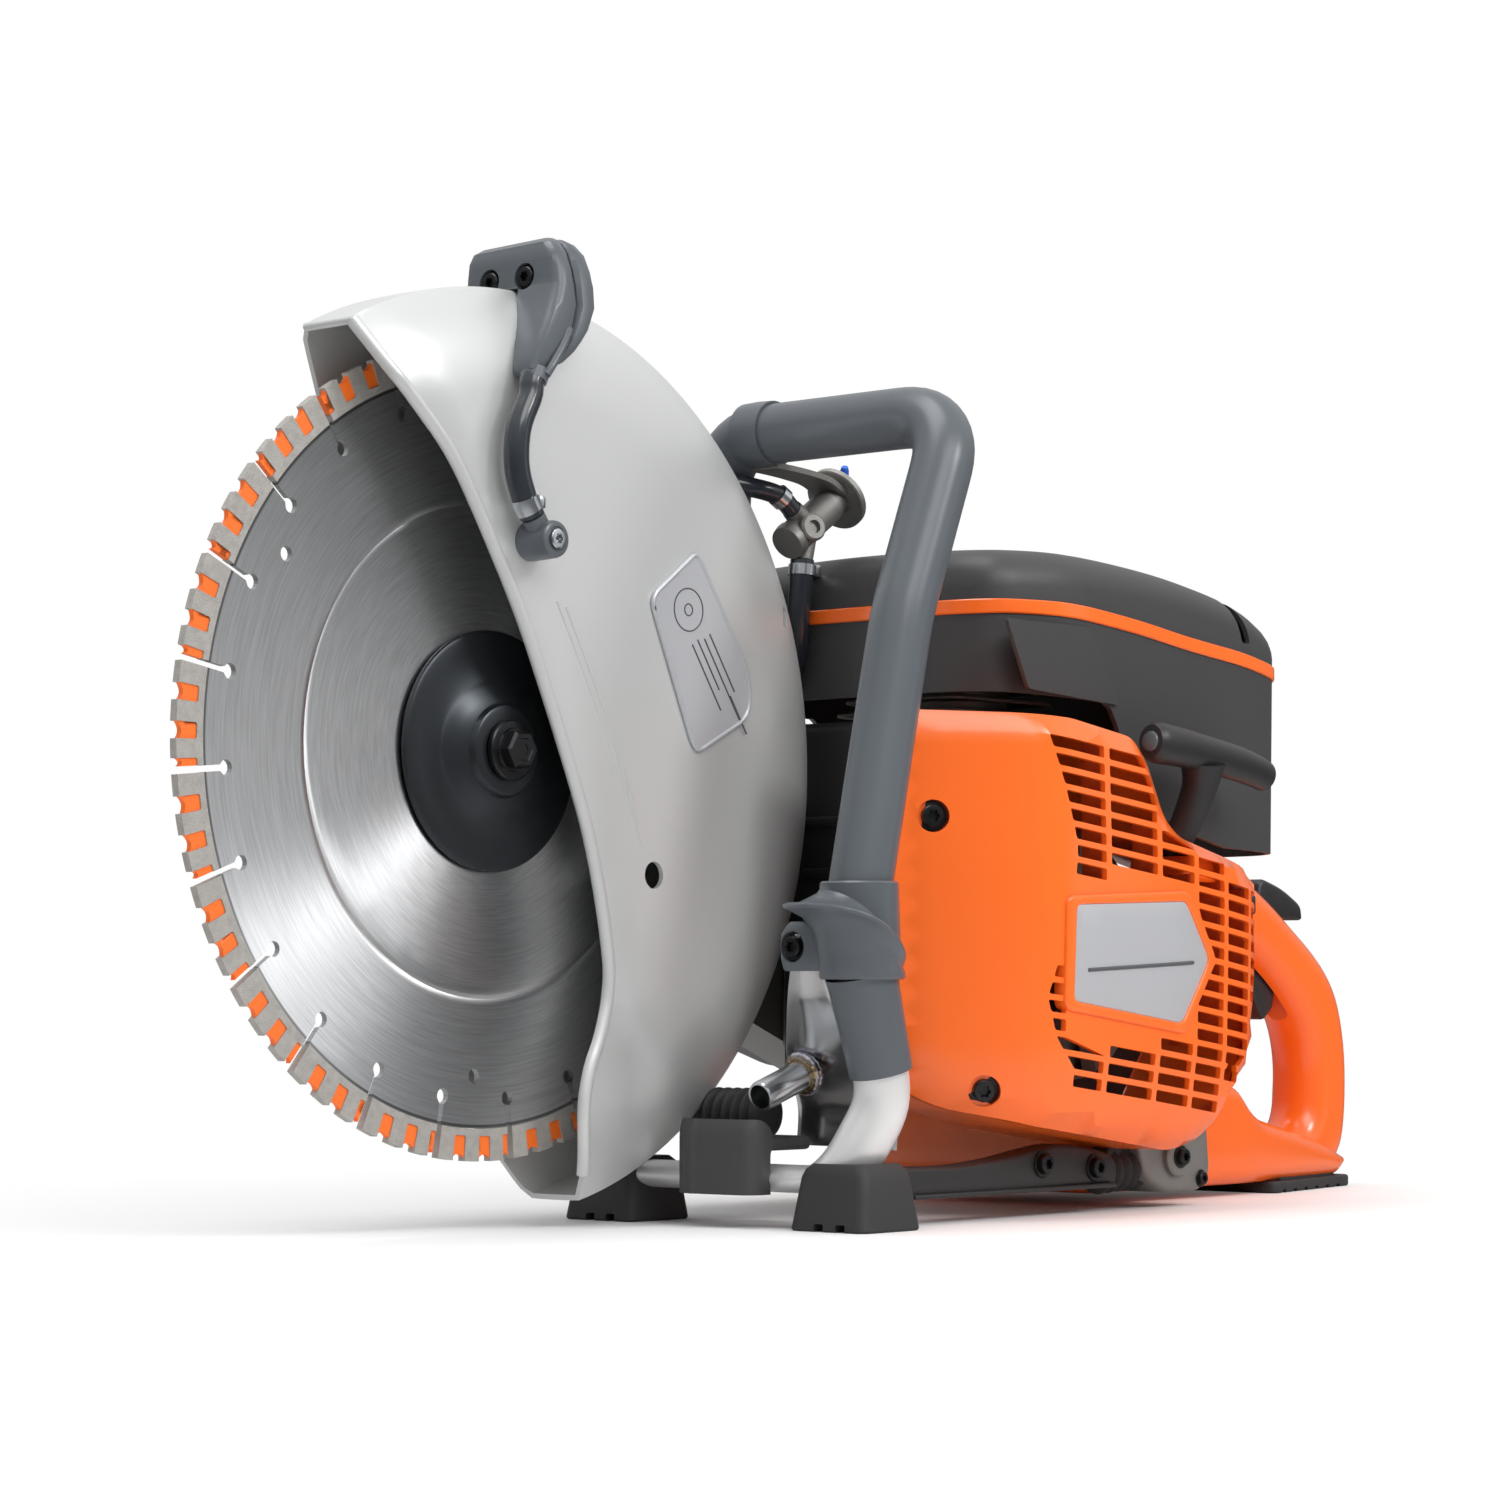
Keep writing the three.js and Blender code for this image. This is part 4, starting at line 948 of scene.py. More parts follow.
rim = ring_of("diamond_segments", template("comb", segment_comb()), SLOTS, -SLOT_TURN,
              "sintered", "blade", "blade_steel")
paint = ring_of("segment_paint_bands", template("gaps", *segment_gaps()), SLOTS, -SLOT_TURN,
                "segment_paint", "blade", "blade_steel")
print("rim", len(rim.data.polygons), "faces, paint", len(paint.data.polygons))

# %% [markdown]
# ## Flanges and the arbor bolt
# The blade is clamped between two flanges. The outer one is turned, blackened and dished, with
# a raised boss, and its washer and hexagon bolt hold everything on the spindle. They are turned
# profiles, the hexagon a turned bar with six sides and a chamfered crown.

# %% Flanges, washer and bolt
FACE = DISC_HALF + 0.3
outer_flange = turned(
    [(-FACE, 12.9), (-FACE, 50.6), (-FACE - 0.5, 51.8), (-3.6, 52), (-4.4, 51.4), (-4.9, 50),
     (-5.0, 44), (-5.6, 38), (-7.2, 31), (-9.4, 25.5), (-10.6, 22), (-11.0, 20.4), (-12.4, 19.8),
     (-13.4, 19.2), (-13.9, 18), (-13.9, 12.9), (-FACE, 12.9)],
    (0, 0, 0), (0, 1, 0), 96)
piece("outer_blade_flange", [outer_flange], LOOK["flange_black"], "blade", "black_steel",
      ["outer_flange"], 24)
inner_flange = turned(
    [(FACE, 12.9), (FACE, 51.5), (FACE + 0.6, 52), (5, 52), (5.6, 51), (9, 26), (9, 12.9), (FACE, 12.9)],
    (0, 0, 0), (0, 1, 0), 72)
piece("inner_blade_flange", [inner_flange], LOOK["flange_black"], "blade", "black_steel",
      ["inner_flange"], 24)
washer = turned([(-14.3, 4.4), (-14.3, 12.6), (-14.8, 13.1), (-16.8, 13.1), (-17.4, 12.4),
                 (-17.6, 9.5), (-17.6, 4.4), (-14.3, 4.4)],
                (0, 0, 0), (0, 1, 0), 48)
hexagon = turned([(-17.4, 3), (-17.4, 8.9), (-22.6, 8.9), (-23.8, 7.6), (-23.8, 5.6), (-23.2, 5.0),
                  (-23.2, 3), (-17.4, 3)],
                 (0, 0, 0), (0, 1, 0), 6)
collar_ring = turned([(-17.6, 4), (-17.6, 9.6), (-18.6, 9.2), (-18.6, 4), (-17.6, 4)], (0, 0, 0),
                     (0, 1, 0), 36)
shank = turned([(12, 0), (12, 4.1), (-22.9, 4.1), (-22.9, 0)], (0, 0, 0), (0, 1, 0), 24)
piece("blade_bolt", [washer, hexagon, collar_ring, shank], LOOK["bolt_black"], "blade",
      "black_steel", ["arbor_bolt"], 22)
print("flanges and bolt made")

# %% [markdown]
# ## The blade guard
# The guard is a deep-drawn light-alloy shell: a flat left wall, a conical shoulder that rolls
# over into the rim, and a plain right wall. Its front edge on the left runs in one long curve
# from the lip down to the tail, and a rolled bead stiffens it. A solid of revolution would need
# its front trimmed by a boolean. Here both walls are relief plates whose heights come from the
# distance to the axle, joined by the rim's strip of faces and then given their thickness.

# %% Guard profile and outlines
GUARD_R = 198.0
SHOULDER_R = 157.0
LEFT_Y = -30.0
RIM_HALF = 14.0
RIGHT_Y = 17.6
LIP, TAIL = 118.0, -77.0
LEFT_EDGE = smooth_line([
    (-84, 158), (-70, 144), (-48, 122), (-31, 98), (-9, 61), (8, 27), (24, -8), (36, -38),
    (45, -70), (50, -98), (46, -119), (38.5, -136), (35, -152), (37, -168), (42, -184)], 6)
CREASE = smooth_line([(-70, 178), (-48, 143), (-30, 119), (-14, 92), (8, 46), (27, 5), (44, -38),
                      (58, -76), (70, -108), (84, -128), (86, -150), (85, -180)], 6)
rim_arc = arc(GUARD_R, TAIL, LIP, 130)
right_front = smooth_line([(-83, 146), (-62, 90), (-54, 30), (-54, -40), (-28, -110), (12, -160)], 6)


def left_height(flat):
    radius = np.hypot(flat[:, 0], flat[:, 1])
    climb = np.clip((radius - SHOULDER_R) / (GUARD_R - SHOULDER_R), 0, 1)
    wall = LEFT_Y + (-RIM_HALF - LEFT_Y) * (0.3 * climb + 0.7 * climb**2.6)
    ahead = signed_gap(flat, CREASE)
    dip = 3.4 * np.clip(ahead / 17, 0, 1) ** 1.2 * (1 - climb) ** 0.5
    return wall + dip


def signed_gap(flat, line):
    """Distance to an open line, positive on its front side and zero behind it."""
    best = np.full(len(flat), 1e9)
    sign = np.zeros(len(flat))
    for a, b in zip(line[:-1], line[1:]):
        span = b - a
        t = np.clip(((flat - a) @ span) / (span @ span), 0, 1)
        off = flat - a - t[:, None] * span
        d = np.hypot(off[:, 0], off[:, 1])
        side = span[0] * off[:, 1] - span[1] * off[:, 0]
        closer = d < best
        best = np.where(closer, d, best)
        sign = np.where(closer, np.sign(side), sign)
    return np.where(sign < 0, best, 0)


def wall_shell(front, height, holes=(), spacing=6.5):
    loop = np.vstack([front, rim_arc])
    flat, tris, loops, gap = net([loop] + list(holes), spacing, (1.2, 3.0), longest=6.5)
    points = np.stack([flat[:, 0], height(flat), flat[:, 1]], 1)
    return points, [tuple(t) for t in tris]


SIGHT_HOLE = arc(6.0, 0, 360, 20, (75, -52))[:-1]
RIM_NOTCH = rounded([(168.5, 64), (173, 62.5), (176, 72), (171.5, 74)], 1.2, 3)
left_wall = wall_shell(LEFT_EDGE, left_height, [SIGHT_HOLE, RIM_NOTCH])
right_wall = wall_shell(
    right_front,
    lambda flat: RIGHT_Y - (RIGHT_Y - RIM_HALF) * np.clip((np.hypot(*flat.T) - 190) / 8, 0, 1) ** 2,
    [arc(37, 0, 360, 48)[:-1]], 9)
across = np.linspace(-RIM_HALF, RIM_HALF, 8)
swell = GUARD_R + 0.25 * (1 - (across / RIM_HALF) ** 2)
rim_points = np.array([(x * r / GUARD_R, y, z * r / GUARD_R) for y, r in zip(across, swell)
                       for x, z in rim_arc])
m = len(rim_arc)
rim_faces = [(j * m + k, j * m + k + 1, (j + 1) * m + k + 1, (j + 1) * m + k)
             for j in range(len(across) - 1) for k in range(m - 1)]


def thickened(bm, thickness, outward):
    """Gives an open skin its wall on the inside. outward is a point and the way it must face."""
    bmesh.ops.remove_doubles(bm, verts=bm.verts, dist=2e-5)
    bmesh.ops.recalc_face_normals(bm, faces=bm.faces)
    spot, way = outward
    nearest = min(bm.faces, key=lambda f: (f.calc_center_median() - Vector(placed(spot))).length)
    if nearest.normal.dot(Vector(way)) < 0:
        bmesh.ops.reverse_faces(bm, faces=bm.faces[:])
    skin = bm.faces[:]
    bmesh.ops.solidify(bm, geom=skin, thickness=thickness * MM)
    return bm


guard_bm = thickened(bmesh_of(left_wall, right_wall, (rim_points, rim_faces)), 2.4,
                     ((0, 0, GUARD_R), (0, 0, 1)))
guard = register(add_object("guard_pressing", guard_bm, LOOK["guard_paint"], 40), "guard",
                 "guard_silver", ["guard_shell"])
print("guard_pressing", len(guard.data.polygons), "faces, box", [round(v, 3) for v in guard.dimensions])

# %% [markdown]
# ## The guard's rolled edge, grooves and plate
# The bead along the front edge is a thick rolled lip: a tube swept along the same curve as the
# outline, a little oval. Two thin grooves run beside the crease. The data plate is a thin panel
# with a raised rim, and where the maker prints words it carries only a generic disc and lines.

# %% Bead, grooves and data plate
edge_line = np.vstack([rim_arc[-1:] * 0.995, LEFT_EDGE])
edge_heights = left_height(edge_line)
bead_path = np.stack([edge_line[:, 0], edge_heights + 0.6, edge_line[:, 1]], 1)
bead_path = smooth_line(bead_path[::3], 5)
bead = swept(bead_path, 1.0, section=np.stack([2.3 * np.cos(np.linspace(0, 2 * np.pi, 17)[:-1]),
                                              2.9 * np.sin(np.linspace(0, 2 * np.pi, 17)[:-1])], 1))
lip_path = [(x, y, z) for (x, z), y in zip(np.tile(rim_arc[-1], (9, 1)) * 0.993,
                                           np.linspace(-15, 14, 9))]
lip = swept(np.array(lip_path), 1.9, 12)
piece("guard_rolled_edge", [bead, lip], LOOK["guard_paint"], "guard", "guard_silver", sharp=50)

grooves = []
for start, end in (((13, 64), (67, -41)), ((18.5, 62), (63, -26))):
    line = np.array([np.add(start, np.multiply(t, np.subtract(end, start)))
                     for t in np.linspace(0, 1, 14)])
    line[:, 0] += 2.2 * np.sin(np.linspace(0, np.pi, 14))
    grooves.append(swept(np.stack([line[:, 0], left_height(line) + 0.1, line[:, 1]], 1), 0.75, 8))
piece("guard_ribs", grooves, LOOK["guard_paint"], "guard", "guard_silver", sharp=60)

plate_edge = rounded([(71.5, 69.5), (101, 91.5), (105, 87.5), (136.5, 41), (138, 21), (103, 3.5),
                      (99, 7.5)],
                     (6, 5, 5, 9, 9, 5, 5), 5)
plate_panel = plate([plate_edge], LEFT_Y - 1.3, LEFT_Y - 0.2, 0.5, 6, both=False)
plate_rim = swept(np.vstack([np.insert(p, 1, LEFT_Y - 1.0)
                             for p in np.vstack([plate_edge, plate_edge[:2]])]), 1.1, 10)
emblem_centre = np.array((96.0, 66.0))
emblem = [swept(np.vstack([np.insert(p, 1, LEFT_Y - 1.3)
                           for p in arc(r, 0, 360, 36, emblem_centre)]), 0.35, 6)
          for r in (9.5, 2.6)]
along, down = np.array((0.56, -0.83)), np.array((-0.83, -0.56))
for row, (start, length) in enumerate(((14, 34), (14, 26), (16, 42), (16, 30), (46, 20))):
    base = emblem_centre + along * start + down * (6.5 - 4.2 * (row % 4)) * (1 if row < 4 else -0.4)
    ends = [np.insert(base + along * t, 1, LEFT_Y - 1.3) for t in (0, length / 2, length)]
    emblem.append(swept(np.array(ends), 0.42, 6))
piece("guard_plate", [plate_panel, plate_rim], LOOK["label_silver"], "guard", "guard_silver",
      ["data_plate"], 40)
piece("guard_plate_marks", emblem, LOOK["label_ink"], "guard", "guard_silver", sharp=60)
print("guard trim made")

# %% [markdown]
# ## Lofts, carving and screws
# Hand-shaped mouldings are lofts: a rounded rectangle that changes size and place from level to
# level. Recesses for screws are really cut, with a boolean that is worked out once and then
# removed, so a plain mesh is left. Torx screws come in many places and sizes: one template and
# one node tree that reads each place's turn and size from the points' own attributes.


# %% Helpers for mouldings and screws
def loft(rings, caps=True):
    n = len(rings[0])
    faces = [(i * n + k, i * n + (k + 1) % n, (i + 1) * n + (k + 1) % n, (i + 1) * n + k)
             for i in range(len(rings) - 1) for k in range(n)]
    if caps:
        faces += [tuple(range(n))[::-1], tuple((len(rings) - 1) * n + k for k in range(n))]
    return np.vstack(rings), faces


def round_rect(x0, x1, y0, y1, radius, steps=5):
    return rounded([(x0, y0), (x1, y0), (x1, y1), (x0, y1)], radius, steps)


def stacked(levels, keys, steps=3):
    """A loft up z. Each key is (z, x0, x1, y0, y1, radius). Levels are z values to sample."""
    keys = np.array(keys, float)
    rings = []
    for z in levels:
        x0, x1, y0, y1, radius = [np.interp(z, keys[:, 0], keys[:, k]) for k in range(1, 6)]
        ring = round_rect(x0, x1, y0, y1, radius, steps)
        rings.append(np.column_stack([ring, np.full(len(ring), z)]))
    return loft(rings)


def carve(made, *cutters):
    """Cuts shells out of a finished object and leaves a plain mesh."""
    tool = add_object("cutter", bmesh_of(*cutters), made.data.materials[0])
    cut = made.modifiers.new("cut", "BOOLEAN")
    cut.operation = "DIFFERENCE"
    cut.solver = "EXACT"
    cut.object = tool
    mesh = evaluated_mesh(made)
    made.modifiers.remove(cut)
    made.data = mesh
    crisp(mesh, 34)
    bpy.data.objects.remove(tool)
    return made


def carved_piece(name, shells, cutters, material, body, slot, nodes=(), sharp=34):
    made = add_object(name, bmesh_of(*shells), material, sharp)
    return register(carve(made, *cutters), body, slot, nodes)


def torx_screw():
    """Head up z, 4 mm tall and 4.5 mm in radius, with a six-lobed socket and a flange."""
    profile = [(-5, 3, 0), (0, 3, 0), (0, 6.1, 0), (0.8, 6.1, 0), (1.1, 5.8, 0), (1.2, 4.6, 0),
               (3.4, 4.45, 0), (3.9, 4.0, 0), (4.0, 3.3, 0), (4.0, 2.25, 0.15), (3.7, 2.1, 0.15),
               (1.8, 2.0, 0.15), (1.7, 0.2, 0)]
    turn = np.linspace(0, 2 * np.pi, 37)[:-1]
    rings = []
    for z, radius, lobes in profile:
        r = radius * (1 + lobes * np.cos(6 * turn))
        rings.append(np.stack([r * np.cos(turn), r * np.sin(turn), 0 * r + z], 1))
    return loft(rings)


def spots_tree():
    tree, given, result = new_group(
        "copies_at_spots",
        [("Geometry", "geometry", None), ("Shape", "shape", None), ("Finish", "finish", None)],
        [("Geometry", "geometry")], "GeometryNodeTree")
    shape = add_node(tree, "GeometryNodeObjectInfo", {"Object": given["Shape"]})
    turn, size = [
        add_node(tree, "GeometryNodeInputNamedAttribute", {"Name": name}, data_type=kind)
        for name, kind in (("turn", "FLOAT_VECTOR"), ("size", "FLOAT"))]
    copies = add_node(tree, "GeometryNodeInstanceOnPoints", {
        "Points": given["Geometry"], "Instance": shape.outputs["Geometry"],
        "Rotation": turn.outputs["Attribute"], "Scale": size.outputs["Attribute"]})
    put_out(tree, copies, given["Finish"], result)
    return tree


SPOTS = spots_tree()


def torx():
    return template("torx", torx_screw())


def at_spots(name, shape, spots, look, body, slot, nodes=(), sharp=30):
    """Copies of a shape, each at (place, axis, size), as one piece."""
    mesh = bpy.data.meshes.new(name + "_spots")
    holder = in_scene(name, mesh)
    mesh.from_pydata([tuple(placed(spot)) for spot, _, _ in spots], [], [])
    mesh.attributes.new("turn", "FLOAT_VECTOR", "POINT")
    mesh.attributes.new("size", "FLOAT", "POINT")
    for i, (_, axis, scale) in enumerate(spots):
        mesh.attributes["turn"].data[i].vector = Vector(axis).to_track_quat("Z", "Y").to_euler()
        mesh.attributes["size"].data[i].value = scale
    run_tree(holder, SPOTS, sharp, Shape=shape, Finish=LOOK[look])
    return register(holder, body, slot, nodes)


# %% [markdown]
# ## The guard's handle and water spray
# A two-part grip straddles the guard's rim, so that the guard can be turned. Its leg hides a
# water channel and hands over to a short hose that ends in a banjo nozzle on each wall. The
# two halves meet in a visible parting line, and two screws sit deep in round recesses.

# %% Grip halves
GRIP_LEVELS = [157, 158, 160, 165, 170, 175, 180, 185, 190, 195, 198.7, 199.3, 202, 206, 210, 213,
               215.5, 217.5, 219, 219.8]
FRONT_KEYS = [(157, -14, -4, -40, -31, 3), (159, -15.6, -2.4, -42.5, -30, 3),
              (170, -12, 4, -43.5, -26.5, 4),
              (180, -7, 9.8, -43.6, -22.5, 4), (190, -2, 13.6, -43, -17.5, 5),
              (198.7, 1.6, 13.7, -41.6, -14.5, 5),
              (199.3, 1.8, 13.7, -41.5, 16.6, 5), (206, 2.3, 13.7, -40, 16.6, 6),
              (213, 2.9, 13.7, -37, 16.2, 6),
              (217.5, 4.4, 13.7, -33, 14.6, 5), (219.8, 8, 13.7, -29, 11.5, 3)]
REAR_KEYS = [(164, 0.5, 5, -40, -31, 2), (166, 1.9, 8, -42, -29, 3), (172, 5.6, 14, -43.3, -27, 4),
             (180, 10.2, 20, -43.4, -23, 4), (190, 14.1, 25.4, -42.6, -17.5, 5),
             (198.7, 14.2, 26, -41.4, -14.5, 5),
             (199.3, 14.2, 26, -41.3, 16.6, 5), (206, 14.2, 25.8, -39.8, 16.6, 6),
             (213, 14.2, 25, -36.8, 16.2, 6),
             (217.5, 14.2, 22.6, -32.8, 14.6, 5), (219.8, 14.2, 19, -29, 11.5, 3)]
SCREW_SPOTS = [(0.5, 203.2), (-20.5, 203.6)]


def tilted(shell):
    """The handle's top is a little higher on the left."""
    points, faces = shell
    lift = np.clip((points[:, 2] - 206) / 12, 0, 1)
    points = points + np.stack([0 * lift, 0 * lift, -0.025 * lift * (points[:, 1] + 8)], 1)
    return points, faces


recesses = [turned([(0, 6.2), (2.6, 5.9), (9, 5.9)], (-1.5, y, z), (1, 0, 0), 28)
            for y, z in SCREW_SPOTS]
front_half = tilted(stacked(GRIP_LEVELS, FRONT_KEYS))
tab = swept(smooth_line([(7, -42.6, 179), (2, -43.8, 171.5), (-5, -44.2, 162), (-8, -43.6, 157.6)],
                        5), 1.9, 14)
outlet = swept([(-8.5, -38, 160), (-10.5, -38.2, 155.4)], [6.3, 6.0], 22)
carved_piece("guard_grip_front", [front_half], recesses, LOOK["grip_skin"], "guard", "grey_plastic",
             ["guard_handle_front"])
piece("guard_grip_tab", [tab, outlet], LOOK["grip_skin"], "guard", "grey_plastic")
rear_half = tilted(stacked([164, 165] + GRIP_LEVELS[3:], REAR_KEYS))
hose_boss = swept([(24, 9, 206), (38, 9, 204)], [5.4, 4.8], 20)
piece("guard_grip_rear", [rear_half, hose_boss], LOOK["grip_skin"], "guard", "grey_plastic",
      ["guard_handle_rear"])
at_spots("guard_grip_screws", torx(),
         [((6.0, y, z), (-1, 0, 0), 1.0) for y, z in SCREW_SPOTS], "bolt_black", "guard",
         "black_steel", ["guard_handle_screw_1", "guard_handle_screw_2"])

# %% Spray hoses, their clamps and the banjo nozzles
DROP = [(-13, 148), (-19.5, 134), (-20.5, 118), (-16, 105), (-11.4, 98)]
for side, y, start in (("left", -38.6, [(-9.5, -38.2, 159), (-11.6, -38.4, 154)]),
                       ("right", 25, [(6, 25, 190), (1, 25, 172)])):
    nodes = ["spray_hose_" + side]
    run = smooth_line(start + [(x, y, z) for x, z in DROP], 7)
    piece("spray_hose_" + side + "_tube", [swept(run, 5.5, 24)], LOOK["hose_skin"], "guard",
          "hose_rubber", nodes)
    wall = -29.5 if side == "left" else 17.5
    out = -1 if side == "left" else 1
    tip = -46.4 if side == "left" else 31.5
    length = abs(tip - wall)
    body_shape = turned([(0, 6.6), (0, 8.4), (2, 8.6), (length - 2, 8.1), (length - 0.6, 7.6),
                         (length, 6.6),
                         (length, 5.4), (length - 0.7, 5.2), (length - 0.7, 1)], (-4, wall, 88),
                        (0, out, 0), 40)
    spigot = swept([(-5, y, 90), (-10.6, y, 97.4)], 5.2, 20)
    piece("banjo_nozzle_" + side, [body_shape, spigot], LOOK["grip_skin"], "guard", "black_rubber",
          ["spray_nozzle_" + side])
    at_spots("nozzle_screw_" + side, torx(),
             [((-4, tip - out * 2.4, 88), (0, out, 0), 0.96)], "plated", "guard", "plated_steel")
    band = swept(run[-8:-2], 6.3, 28, bore=5.3)
    ear = rounded_box((-8.6, y - 2.4, 101), (-5.0, y + 2.4, 106.5), 0.9, 2)
    piece("hose_band_" + side, [band, ear], LOOK["plated"], "guard", "plated_steel")
print("guard fittings made")

# %% [markdown]
# ## The front handle
# One aluminium tube is bent into the handle, the left leg and the cross tube under the engine.
# A thick moulded grip covers the part that is held. Lower down it goes bare, and where it
# passes under the saw the tube is pressed flat so that the saw stays low. A swept circle does
# all of it: below the bend the section is squeezed along the path.

# %% Grip and bare tube
TUBE = bend([(197, 44, 20), (178, 20, 155), (178, -118, 155), (139, -118, 62), (107, -118, -70),
             (124, -120, -150), (112, -106, -184), (112, 35, -184)], [27, 27, 90, 60, 28, 26], 12)
lengths = np.concatenate([[0], np.cumsum(np.linalg.norm(np.diff(TUBE, axis=0), axis=1))])


def run_of(start, end, step=5.0):
    """The tube's path between two lengths, evenly stepped."""
    at = np.linspace(start, end, max(2, int((end - start) / step)))
    return np.stack([np.interp(at, lengths, TUBE[:, k]) for k in range(3)], 1)


def softened(path, rounds=2):
    for _ in range(rounds):
        path = np.vstack([path[:1], (path[:-2] + 2 * path[1:-1] + path[2:]) / 4, path[-1:]])
    return path


COLLAR_Z, GRIP_STOP = -56, -64
leg = slice(len(TUBE) // 3, 2 * len(TUBE) // 3 + 6)
leg_stop = float(np.interp(-GRIP_STOP, -TUBE[leg, 2], lengths[leg]))
grip = softened(run_of(38, leg_stop, 4.0))
piece("front_handle_grip", [swept(grip, 13.9, 36)], LOOK["grip_skin"], "chassis", "grey_plastic",
      ["handle_grip"], sharp=50)
bare = softened(run_of(leg_stop - 10, lengths[-1], 3.0))
ring_points, tube_faces = swept(bare, 12.2, 32)
ring_points = ring_points.reshape(len(bare), -1, 3)
squeeze = np.clip((bare[:, 1] + 122) / 30, 0, 1) * np.clip((-155 - bare[:, 2]) / 22, 0, 1)
squeeze = squeeze * squeeze * (3 - 2 * squeeze)
offset = ring_points - bare[:, None]
offset[:, :, 2] *= (1 - 0.5 * squeeze)[:, None]
offset[:, :, 0] *= (1 + 0.14 * squeeze)[:, None]
stub_top = swept(run_of(0, 44, 4.0), 11.9, 24)
piece("front_handle_tube", [((bare[:, None] + offset).reshape(-1, 3), tube_faces), stub_top],
      LOOK["bare_alloy"], "chassis", "bare_tube", ["handle_tube"], sharp=50)
print("handle tube", round(lengths[-1]), "mm long, grip until", round(leg_stop))

# %% [markdown]
# ## The collar and its sleeve
# A clamp collar ends the grip. Its lip is a hand guard: wide on the side of the blade, it runs
# down round the leg like a screw thread and fades out towards the engine. Each ring of the loft
# has its own height and reach for every angle, which a turned shape could not give.

# %% Collar, sleeve and collar screw
LEG_TOP, LEG_LOW = np.array((109.2, -118.0)), np.array((110.5, -118.4))
turns = np.linspace(0, 2 * np.pi, 49)[:-1]
towards_blade = math.atan2(0.62, -0.78)
share = (1 + np.cos(turns - towards_blade)) / 2
lip_reach = 19.2 + 14.0 * share**1.3
lip_height = -66 - 22 * (1 - share) ** 2
sleeve_r = 17.2


def collar_ring(radius, height):
    height = np.broadcast_to(height, turns.shape)
    centre = LEG_TOP + (LEG_LOW - LEG_TOP) * ((COLLAR_Z - height) / 42)[:, None]
    return np.column_stack([centre[:, 0] + radius * np.cos(turns),
                            centre[:, 1] + radius * np.sin(turns), height])


def between_lip(part, above):
    return collar_ring(sleeve_r + (lip_reach - sleeve_r) * part, lip_height + above)


collar = loft([
    collar_ring(13.6, -55.6), collar_ring(16.3, -55.6), collar_ring(17.0, -56.4),
    between_lip(0.0, 7.0 * share), between_lip(0.08, 4.6 * share + 0.8),
               between_lip(0.3, 2.4 * share + 1.2),
    between_lip(0.6, 1.3), between_lip(0.9, 1.25), between_lip(1.0, 0.6), between_lip(1.02, 0),
    between_lip(0.98, -1.2), between_lip(0.85, -2.0), between_lip(0.5, -3.8 - 1.2 * share),
    between_lip(0.22, -5.5 - 5 * share),
               collar_ring(18.2 + 0.5 * (1 - share), np.minimum(lip_height - 7 - 10 * share, -91)),
    collar_ring(18.4 + 0.4 * (1 - share), -96.5), collar_ring(17.8, -97.6), collar_ring(13.6, -97.6)])
ear = stacked([-94, -93, -88, -78, -74, -72.6],
              [(-94, 99, 112, -108, -84, 3), (-92, 97.6, 113, -109, -81.6, 4),
               (-76, 97.4, 113, -109, -82, 4),
               (-72.6, 100, 112, -107, -86, 3)])
ear_hole = turned([(0, 6.8), (4.6, 6.4)], (96.5, -90, -83.5), (1, 0, 0), 28)
piece("handle_clamp_collar", [collar], LOOK["grip_skin"], "chassis", "grey_plastic",
      ["handle_collar"], sharp=36)
carved_piece("collar_screw_ear", [ear], [ear_hole], LOOK["grip_skin"], "chassis", "grey_plastic")
lower = [(110.4, -118.2, -95), (112.2, -118.5, -102), (116.4, -119.2, -118), (121.6, -119.9, -137.5)]
sleeve = swept(smooth_line(lower, 5), np.interp(range(16), (0, 15), (16.0, 13.9)), 32, bore=12.4)
piece("handle_sleeve", [sleeve], LOOK["grip_skin"], "chassis", "grey_plastic",
      ["handle_lower_sleeve"], sharp=40)

# %% [markdown]
# ## Bracket, trolley stub, feet and bellows
# A pressed steel plate ties the collar to the cross tube. The stub for the cutting trolley is
# welded to it, and the heat left straw and blue rings. Two rubber feet with tread notches carry
# the front. Between them a small black shield and a pair of bellows keep slurry off the dampers.


# %% Pressed sheets
def sheet(rows, thickness, look, name, body, slot, nodes=(), outward=None, extra=()):
    """A grid of points turned into a pressed plate of even thickness."""
    rows = np.array(rows, float)
    m, n = rows.shape[:2]
    faces = [(i * n + k, i * n + k + 1, (i + 1) * n + k + 1, (i + 1) * n + k)
             for i in range(m - 1) for k in range(n - 1)]
    bm = thickened(bmesh_of((rows.reshape(-1, 3), faces)), thickness, outward)
    for points, more in extra:
        verts = [bm.verts.new(p) for p in placed(points)]
        for face in more:
            bm.faces.new([verts[k] for k in face])
    return register(add_object(name, bm, LOOK[look], 34), body, slot, nodes)


